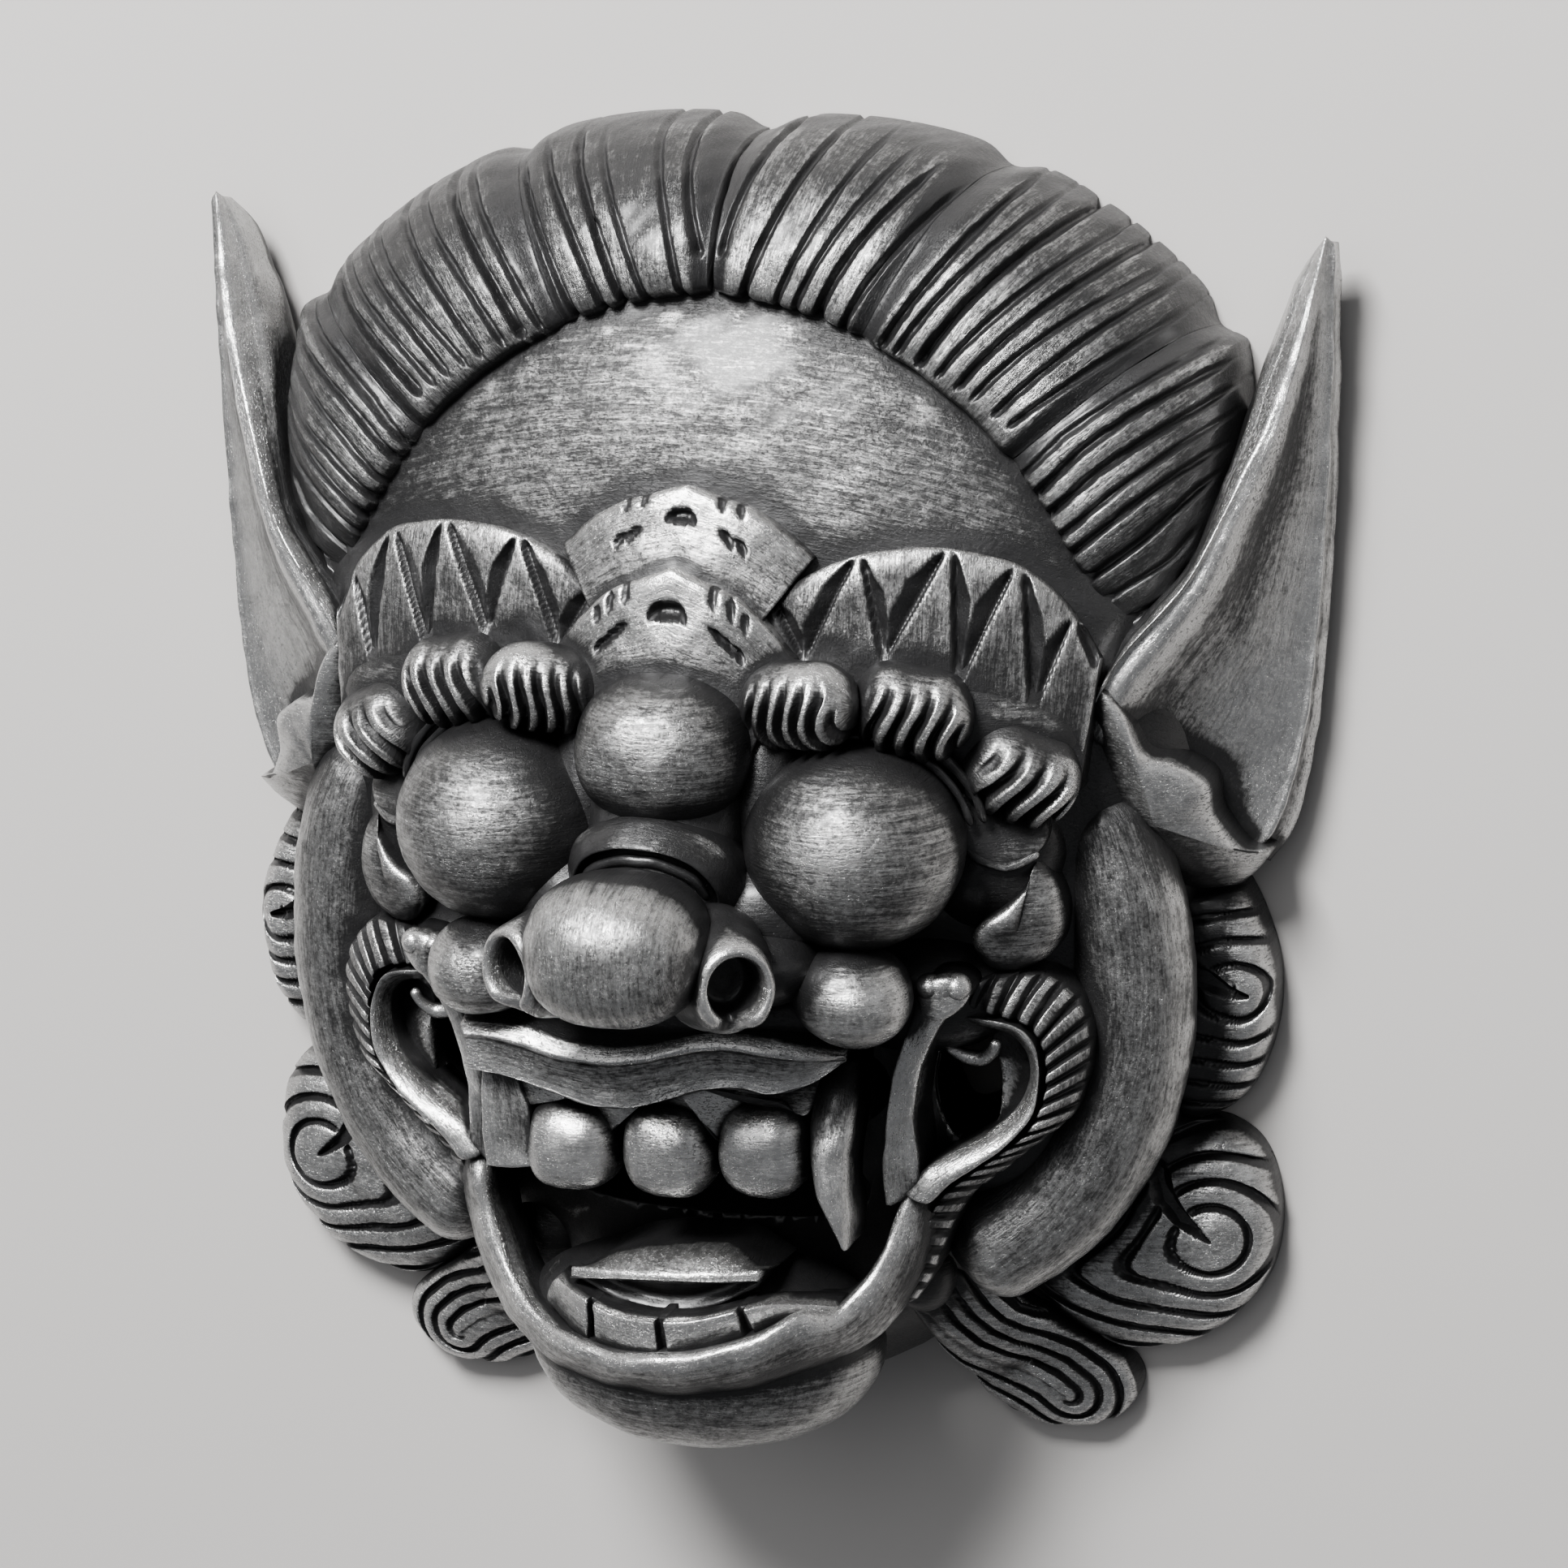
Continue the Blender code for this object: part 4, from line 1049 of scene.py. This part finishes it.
def winding(spine, pitch, wide, deep):
    """A cut for a cushion: grooves at even distances from a line on the face. Half a turn round
    the line's first point moves them by half their spacing."""
    spine = np.array(spine, float)
    tail = np.arctan2(*(spine[1] - spine[0])[::-1])

    def cut(x, y):
        far, _, _ = from_line(x, y, spine)
        turn = np.mod(np.arctan2(y - spine[0, 1], x - spine[0, 0]) - tail, 2 * np.pi) / (2 * np.pi)
        depth, shoulder = grooved(far - pitch * turn, 0.0, pitch, wide, deep)
        depth *= step(0.30, 0.55, far / pitch)
        # painted light: 0.3 less ink everywhere, so outside the cuts the curl is lighter than its shape gives
        return depth + shoulder, np.clip(1.8 * depth / deep, 0, 1.3) - 0.3
    return cut


def snail(eye, first, pitch, wide, deep, comma, long, low):
    """A cut for a cushion: grooves on circles round the curl's eye, which stretch long times towards
    the face where they lie more than low under the eye, and one wide comma that runs into the eye."""
    def cut(x, y):
        left, down = eye[0] - x, eye[1] - y
        stretch = 1 - (1 - 1 / long) * step(-5, 17, left) * step(low, low + 14, down)
        depth, shoulder = grooved(np.hypot(left * stretch, down), first, pitch, wide, deep)
        far, _, share = from_line(x, y, comma)
        width = 0.4 + 2.0 * (1 - share) ** 0.7
        inner = step(1.2, 2.6, far) + (share > 0.98)
        slit = 1.7 * deep * np.clip(1 - far / width, 0, 1) ** 0.8
        depth = np.maximum(depth * np.clip(inner, 0, 1), slit)
        # painted light: 0.3 less ink everywhere, so outside the cuts the curl is lighter than its shape gives
        return depth + shoulder, np.clip(1.8 * depth / deep, 0, 1.3) - 0.3
    return cut


HIGH = [
    (74, -9, 5), (80, -7.2, 4), (85, -6.6, 3), (89.4, -9, 2.5), (93.4, -15.8, 2.5),
    (96.4, -25, 2.5), (96.9, -34, 2.5), (95.2, -43, 2.5), (91.8, -50.4, 2.5), (86.5, -54.8, 2.5),
    (80, -55.4, 4), (74, -46, 8), (71, -27, 8),
]
HIGH_COMMA = [(81.5, -25.2), (85.4, -27.0), (89.1, -28.9), (92.6, -29.7)]
MIDDLE = [
    (74, -54, 6), (82, -55.6, 4), (88.4, -56.4, 3), (94, -60, 2.5), (97.2, -67, 2.5),
    (98.2, -76.4, 2.5), (96.2, -86, 2.5), (90.8, -93.4, 2.5), (84, -98.8, 2.5), (76.4, -101.6, 2.5),
    (68, -101.2, 4), (58, -94, 8), (51, -84, 10), (57, -70, 12), (66, -57, 9),
]
MIDDLE_COMMA = [(76.8, -63.6), (78.8, -68.6), (82.0, -72.8), (87.0, -76.6)]
LOW = [
    (33, -88, 24), (34.6, -94, 21), (36.6, -100, 16), (39.4, -105.6, 11), (41.6, -110, 6),
    (44.0, -114.4, 3.4), (49, -117.8, 2.5), (56, -119.6, 2.5), (63, -119, 2.5), (68.4, -116.6, 2.5),
    (72.0, -112.2, 2.5), (72.6, -107.4, 3), (69, -102.6, 5), (62.4, -97.6, 9), (55.4, -91.6, 14),
    (48, -84.8, 20), (41.6, -79, 25), (36, -82, 26),
]
LOW_SPINE = [
    (60.2, -111.2), (56.8, -108.4), (53, -106.4), (48.6, -104.6), (43.4, -101.4), (38.6, -95.4),
    (35, -88),
]
LEFT_HIGH_FURTHER = np.array([-3.4, 0, 0])
high_cut = snail((90.6, -29.2), 5.2, 4.5, 1.5, 1.5, HIGH_COMMA, long=2.0, low=-40)
middle_cut = snail((87.2, -76.6), 6.5, 4.6, 1.6, 1.6, MIDDLE_COMMA, long=1.9, low=-5)
low_cut = winding(LOW_SPINE, pitch=3.5, wide=1.5, deep=1.5)
right_high, (points, *others) = both(
    cushion(HIGH, (90.5, -28, 3), 10.4, full=2.5, wall=2.4, rings=64, around=200, cut=high_cut)
)
shells["curls"] = [right_high, (points + LEFT_HIGH_FURTHER, *others)]
for outline, middle, crown, full, rings, around, cut in (
    (MIDDLE, (84, -77, 4), 10.6, 2.5, 80, 230, middle_cut),
    (LOW, (54, -103, 8), 6.4, 2.6, 64, 190, low_cut),
):
    curl = cushion(outline, middle, crown, full=full, wall=2.4, rings=rings, around=around, cut=cut)
    shells["curls"] += both(curl)
for centre, radii in (((83, -27, 6), (10, 18, 7)), ((76, -74, 6), (13, 18, 8)), ((70, -54, 8), (10, 13, 8))):
    shells["curls"] += both(ball(centre, radii, grid=HIDDEN))
tell("curls")

# %% [markdown]
# ## Meshes
# Each group of shells becomes one piece. Points below the back rim are brought up to it, so that the
# mask lies flat. The mouth and the two cheek holes go right through the block, so those shells are cut
# with the same openings as the solid.

# %% Meshes


def mesh_of(name, points, faces):
    """A mesh object from points in carver's millimetres and triangles."""
    mesh = bpy.data.meshes.new(name)
    mesh.vertices.add(len(points))
    mesh.vertices.foreach_set("co", in_place(points).ravel())
    mesh.loops.add(3 * len(faces))
    mesh.loops.foreach_set("vertex_index", faces.ravel().astype(np.int32))
    mesh.polygons.add(len(faces))
    mesh.polygons.foreach_set("loop_start", np.arange(0, 3 * len(faces), 3, dtype=np.int32))
    mesh.update(calc_edges=True)
    mesh.shade_smooth()
    return put_in_scene(name, mesh)


def triples(items, field, kind=np.float32):
    """Three values of every item in a mesh, as rows."""
    values = np.empty(3 * len(items), kind)
    items.foreach_get(field, values)
    return values.reshape(-1, 3)


def points_of(mesh):
    """A mesh's points in carver's millimetres, and its triangles."""
    mesh.calc_loop_triangles()
    faces = triples(mesh.loop_triangles, "vertices", np.int32)
    return triples(mesh.vertices, "co") / MM - FACE_MIDDLE, faces


def prism(centre, half, low, high, lean=(0, 0), square=2.0, around=48):
    """An upright opening with a rounded outline, leaning as it rises."""
    turn = full_turn(around)
    rise = np.linspace(0, 1, 24)[:, None]
    x = centre[0] + lean[0] * rise + half[0] * squared(np.cos(turn), square)
    y = centre[1] + lean[1] * rise + half[1] * squared(np.sin(turn), square)
    return closed(np.stack([x, y, low + (high - low) * rise + 0 * x], axis=2))


MOUTH_MIDDLE, MOUTH_HALF = (0, -63.5), (30, 6.5)
OPENINGS = [prism(MOUTH_MIDDLE, MOUTH_HALF, 2, 90, square=3)]
OPENINGS += [prism((side * 45, -41), (6, 11.5), 5, 80, lean=(side * 7, -2)) for side in (1, -1)]


def cut_through(shell, openings):
    """The shell less each opening, worked out by a Boolean modifier whose result is kept. The brush strokes
    follow arcs round a point low on the face, and the mouth's walls are painted black as shade."""
    solid = mesh_of("uncut", shell[0], shell[1])
    for number, opening in enumerate(openings):
        cutter = mesh_of("opening", opening[0], opening[1])
        cutter.hide_render = True
        cut = solid.modifiers.new("opening_%d" % number, "BOOLEAN")
        cut.operation = "DIFFERENCE"
        cut.solver = "MANIFOLD"
        cut.object = cutter
    graph = bpy.context.evaluated_depsgraph_get()
    points, faces = points_of(solid.evaluated_get(graph).data)
    for done in [modifier.object for modifier in solid.modifiers] + [solid]:
        bpy.data.objects.remove(done, do_unlink=True)
    x, y, _ = points.T
    arcs = np.stack([150 * np.arctan2(x, y + 90), np.hypot(x, y + 90)], axis=1)
    # painted shade: points on the mouth's walls get full black
    inside = (np.abs(x) < 33) & (np.abs(y - MOUTH_MIDDLE[1]) < 9)
    return points, faces, arcs, 1.0 * inside


for name in ("block", "cheek_mass"):
    shells[name] = [cut_through(shell, OPENINGS) for shell in shells[name]]
shells["block"] += shells.pop("cheek_mass")
print("openings cut:", len(OPENINGS))

# %% [markdown]
# ## Where the silver was rubbed
# A cloth with silver reaches the crests and leaves the hollows black. So the finish needs to know,
# at every point, whether it is above or below what surrounds it. All the shells together give a map
# of heights over the face, from ten samples of every triangle. The map blurred over a few
# millimetres, less the point's own height, is how deep the point lies, and three blurs give small
# cuts, folds and broad hollows. A cell that no sample reached lies far under its neighbours, and
# takes their height.

# %% Height map
PITCH = 0.6
MAP_LOW = np.array([-112.0, -128.0])
MAP_SIZE = (374, 430)
MISSED = 12


def spread(heights, sigma):
    """The map blurred by a bell of sigma millimetres, as a product in the frequency domain."""
    fx = np.fft.fftfreq(heights.shape[0], PITCH)[:, None]
    fy = np.fft.rfftfreq(heights.shape[1], PITCH)[None]
    kept = np.exp(-2 * (np.pi * sigma) ** 2 * (fx**2 + fy**2))
    return np.fft.irfft2(np.fft.rfft2(heights) * kept, s=heights.shape)


def cell_of(points):
    """The map's cell under each point."""
    place = ((points[:, :2] - MAP_LOW) / PITCH).astype(int)
    return np.clip(place[:, 0], 0, MAP_SIZE[0] - 1), np.clip(place[:, 1], 0, MAP_SIZE[1] - 1)


def read_map(values, points):
    """The map's value at each point, mixed from the four cells round it."""
    place = (points[:, :2] - MAP_LOW) / PITCH - 0.5
    place = np.clip(place, 0, np.array(MAP_SIZE) - 1.001)
    i, j = place.astype(int).T
    s, t = (place % 1).T
    low = values[i, j] * (1 - s) + values[i + 1, j] * s
    return low * (1 - t) + (values[i, j + 1] * (1 - s) + values[i + 1, j + 1] * s) * t


THIRDS = [(a, b) for a in range(4) for b in range(4 - a)]
heights = np.zeros(MAP_SIZE)
for group in shells.values():
    for points, faces, _, _ in group:
        corners = points[faces]
        for a, b in THIRDS:
            sample = (a * corners[:, 0] + b * corners[:, 1] + (3 - a - b) * corners[:, 2]) / 3
            np.maximum.at(heights, cell_of(sample), sample[:, 2])
raised = heights.copy()
for way in (-1, 1):
    for axis in (0, 1):
        raised = np.maximum(raised, np.roll(heights, way, axis))
heights = np.where(heights < raised - MISSED, raised, heights)
BLURS = ((0.9, 0.55, 0.9), (2.6, 0.60, 2.4), (7.0, 0.30, 8.0))
blurred = [spread(heights, sigma) for sigma, _, _ in BLURS]
print("height map:", heights.shape, "highest", round(float(heights.max()), 1))


def rubbed_with_painted_shade(points, normals, ink_and_painted_light):
    """How much silver a point holds, -1 to 1: less for each blur that lies above it, and for the ink in a
    cut, and more where that value is under 0, in places a painted highlight. A face turned straight out is a
    little lighter and one that turns sideways or down darker, as painted light and shade. The back is rubbed
    thinly and evenly."""
    form = np.zeros(len(points))
    for (_, weight, depth), smooth_map in zip(BLURS, blurred):
        form -= weight * np.clip((read_map(smooth_map, points) - points[:, 2]) / depth, -1, 1.6)
    # painted light and shade: faces turned straight out are lighter, and faces turned sideways or down darker
    form += 0.9 * (np.clip(normals[:, 2], 0, 1) - 0.78) - 1.6 * ink_and_painted_light
    back = step(0.1, 0.5, -normals[:, 2])
    return np.clip(form * (1 - back) - 0.35 * back, -1.6, 1)


# %% [markdown]
# ## Writing the material's maths
# The finish is a sum of many small masks. A class wraps a material socket, so that a sum or a product
# of sockets is written as one, and each operator adds its Math node.

# %% Shader maths


class Flow:
    """One output of a material. +, - and * on it add Math nodes, and node adds any other."""

    def __init__(self, tree, socket=None):
        self.tree = tree
        self.socket = socket

    def node(self, kind, settings=None, sockets=None, output=0):
        """A node of that type: its settings first, then its sockets' values or links."""
        made = self.tree.nodes.new(kind)
        for name, value in (settings or {}).items():
            setattr(made, name, value)
        for name, value in (sockets or {}).items():
            if isinstance(value, Flow):
                self.tree.links.new(value.socket, made.inputs[name])
            else:
                made.inputs[name].default_value = value
        return Flow(self.tree, made.outputs[output] if made.outputs else None)

    def maths(self, operation, first, second):
        """A Math node."""
        return self.node("ShaderNodeMath", {"operation": operation}, {0: first, 1: second})

    def __add__(self, other):
        return self.maths("ADD", self, other)

    def __sub__(self, other):
        return self.maths("SUBTRACT", self, other)

    def __mul__(self, other):
        return self.maths("MULTIPLY", self, other)

    def __rsub__(self, other):
        return self.maths("SUBTRACT", other, self)

    __radd__ = __add__
    __rmul__ = __mul__

    def between(self, low, high):
        """0 at low, 1 at high, with soft ends."""
        sockets = {"Value": self, "From Min": low, "From Max": high}
        return self.node("ShaderNodeMapRange", {"interpolation_type": "SMOOTHSTEP"}, sockets)


# %% [markdown]
# ## Antiqued silver
# Black gloss paint lies under the silver. A cloth left the silver thick on the crests, thin and streaked on
# the slopes and missing in the cuts, with dark specks in the wood's pores. On top of that, faces that turn
# sideways or down are darker as painted shade, and some edges and crests carry painted highlights. The
# streaks follow each form, from the grain that its shell carries. A thin wax over all of it gives the small
# hard glints.

# %% Antiqued silver


def antiqued_silver():
    """Black and silver mixed by one mask: the form's crests, its painted shade and painted highlights, plus
    streaks and mottling.
    """
    made = bpy.data.materials.new("antiqued_silver")
    made.use_nodes = True
    tree = made.node_tree
    tree.nodes.clear()
    flow = Flow(tree)
    place = flow.node("ShaderNodeTexCoord", output="Object")
    mm = flow.node("ShaderNodeVectorMath", {"operation": "SCALE"}, {0: place, "Scale": 1000.0})
    form = flow.node("ShaderNodeAttribute", {"attribute_name": "form"}, output="Fac")
    grain = flow.node("ShaderNodeAttribute", {"attribute_name": "grain"}, output="Vector")

    def noise(vector, scale, detail, rough=0.55, twist=0.0):
        sockets = {"Vector": vector, "Scale": scale, "Detail": detail}
        sockets.update({"Roughness": rough, "Distortion": twist})
        return flow.node("ShaderNodeTexNoise", None, sockets)

    def stretched(by):
        return flow.node("ShaderNodeVectorMath", {"operation": "MULTIPLY"}, {0: grain, 1: by})

    def colour_mix(factor, first, second):
        return flow.node("ShaderNodeMix", {"data_type": "RGBA"}, {0: factor, 6: first, 7: second}, output=2)

    streak = noise(stretched((0.09, 0.95, 1.0)), 1.0, 5.0, 0.64, 0.6)
    hairs = noise(stretched((0.45, 2.6, 1.0)), 1.0, 3.0, 0.6, 0.5)
    broad = noise(mm, 0.05, 3.0, 0.55)
    mottle = noise(mm, 0.20, 5.0, 0.66)
    patch = noise(mm, 0.65, 4.0, 0.70)
    pores = noise(stretched((1.3, 2.6, 1.0)), 1.0, 3.0, 0.68)
    grit = noise(mm, 1.5, 4.0, 0.75)
    sparkle = noise(mm, 3.4, 2.0, 0.7)

    wear = (streak - 0.5) * 1.4 + (hairs - 0.5) * 1.1 + (mottle - 0.5) * 0.6
    wear = wear + (patch - 0.5) * 1.0 + (grit - 0.5) * 1.3
    silver = (form * 0.62 + wear * 0.75 + 0.22).between(-0.28, 0.56)
    specks = (pores + (broad - 0.5) * 0.35 + (sparkle - 0.5) * 0.10).between(0.580, 0.660) * 0.7
    pits = (grit - form * 0.04).between(0.53, 0.62) * 0.5
    # this silver mask carries the painted shade and painted highlights held in the form value
    rub_and_painted_light = silver * (1.0 - specks) * (1.0 - pits)
    bright = (form * 0.85 + wear * 0.80 - 0.06).between(-0.3, 0.92)

    under = colour_mix(mottle, (0.011, 0.011, 0.0115, 1), (0.028, 0.0275, 0.028, 1))
    metal = colour_mix(bright, (0.040, 0.0397, 0.0393, 1), (0.56, 0.557, 0.550, 1))
    colour = colour_mix(rub_and_painted_light, under, metal)
    metallic = rub_and_painted_light * 0.82 + 0.05
    rough = 0.42 - rub_and_painted_light * 0.10 - bright * 0.08 + (hairs - 0.5) * 0.25 + (patch - 0.5) * 0.2
    relief = streak * 0.40 + hairs * 0.35 + patch * 0.6 + grit * 0.45 + rub_and_painted_light * 0.30 - specks * 0.7
    bump = flow.node("ShaderNodeBump", None, {"Strength": 0.60, "Distance": 0.00032, "Height": relief})
    shader = flow.node(
        "ShaderNodeBsdfPrincipled", None,
        {
            "Base Color": colour, "Metallic": metallic, "Roughness": rough, "Normal": bump,
            "Coat Weight": 0.36, "Coat Roughness": 0.24,
        },
    )
    flow.node("ShaderNodeOutputMaterial", None, {"Surface": shader})
    return made


silver = antiqued_silver()
print("finish:", len(silver.node_tree.nodes), "nodes")

# %% [markdown]
# ## Pieces
# A knife leaves no perfect ball. So before the shells become pieces, every point moves by a fraction
# of a millimetre along its normal, by a sum of slow waves through the wood, and overlapping shells
# move together. Only the block touches the floor, with its flat rim.

# %% Pieces


def by_hand(points):
    """Sum of three slow waves of position, about -1 to 1."""
    x, y, z = points.T
    first = np.sin(0.43 * x + 1.3 * np.sin(0.31 * y)) * np.sin(0.39 * y + 0.9 * np.sin(0.27 * z + 1.0))
    second = np.sin(0.24 * x - 0.33 * y + 0.29 * z + 1.7)
    third = np.sin(0.85 * y + 1.1 * np.sin(0.7 * x)) * np.sin(0.75 * x + 0.6 * z + 0.4)
    return 0.45 * first + 0.35 * second + 0.25 * third


HAND, OFF_FLOOR = 0.28, 0.05
total = 0
for name, group in shells.items():
    starts = np.cumsum([0] + [len(shell[0]) for shell in group])
    faces = np.concatenate([shell[1] + start for shell, start in zip(group, starts)])
    points, grain, ink_and_painted_light = (np.concatenate([shell[part] for shell in group]) for part in (0, 2, 3))
    piece = mesh_of(name, points, faces)
    normals = triples(piece.data.vertices, "normal")
    form = rubbed_with_painted_shade(points, normals, ink_and_painted_light)
    points = points + normals * (HAND * by_hand(points) * step(0.5, 6, points[:, 2]))[:, None]
    points[:, 2] = np.maximum(points[:, 2], 0.0 if name == "block" else OFF_FLOOR)
    piece.data.vertices.foreach_set("co", in_place(points).ravel())
    piece.data.update()
    piece.data.attributes.new("form", "FLOAT", "POINT").data.foreach_set("value", form.astype(np.float32))
    lines = np.concatenate([grain, np.zeros((len(grain), 1))], axis=1).astype(np.float32)
    piece.data.attributes.new("grain", "FLOAT_VECTOR", "POINT").data.foreach_set("vector", lines.ravel())
    piece.data.materials.append(silver)
    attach(piece, "root")
    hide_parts("mask")
    total += len(faces)
    print(name, len(faces), "triangles")
print("all pieces:", total, "triangles")

# %% [markdown]
# ## Floor and light
# The mask lies on a plain pale floor. A small key light from the crown's side makes the highlights.
# A broad weak light near it softens the shadows, a weaker one fills the right, and a dim even sky
# keeps the cuts dark.

# %% Floor and light
FLOOR_HALF, FLOOR_GAP = 3.0, 0.0004
corners = [(x * FLOOR_HALF, y * FLOOR_HALF, 0) for x, y in ((-1, -1), (1, -1), (1, 1), (-1, 1))]
floor_mesh = bpy.data.meshes.new("floor")
floor_mesh.from_pydata(corners, [], [(0, 1, 2, 3)])
floor = put_in_scene("floor", floor_mesh)
floor.location.z = -FLOOR_GAP
paint = bpy.data.materials.new("pale_floor")
paint.use_nodes = True
coat = paint.node_tree.nodes["Principled BSDF"].inputs
coat["Base Color"].default_value = (0.49, 0.476, 0.464, 1)
coat["Roughness"].default_value = 0.8
floor_mesh.materials.append(paint)


def soft_light(name, towards, away, size, power):
    """A square light in a direction from the mask, turned to face it."""
    towards = Vector(towards).normalized()
    lamp = bpy.data.lights.new(name, "AREA")
    lamp.shape = "SQUARE"
    lamp.size = size
    lamp.energy = power
    made = put_in_scene(name, lamp)
    made.location = towards * away
    made.rotation_euler = towards.to_track_quat("Z", "Y").to_euler()


soft_light("key", (-0.20, 0.70, 0.68), 1.5, 0.45, 46)
soft_light("broad", (-0.26, 0.48, 0.84), 1.5, 1.5, 7)
soft_light("fill", (0.9, 0.25, 0.45), 1.8, 0.7, 1.5)
world = bpy.data.worlds.new("sky")
world.use_nodes = True
sky = world.node_tree.nodes["Background"].inputs
sky["Color"].default_value = (0.80, 0.82, 0.86, 1)
sky["Strength"].default_value = 0.21
scene.world = world
scene.view_settings.view_transform = "AgX"
scene.view_settings.look = "AgX - Medium High Contrast"
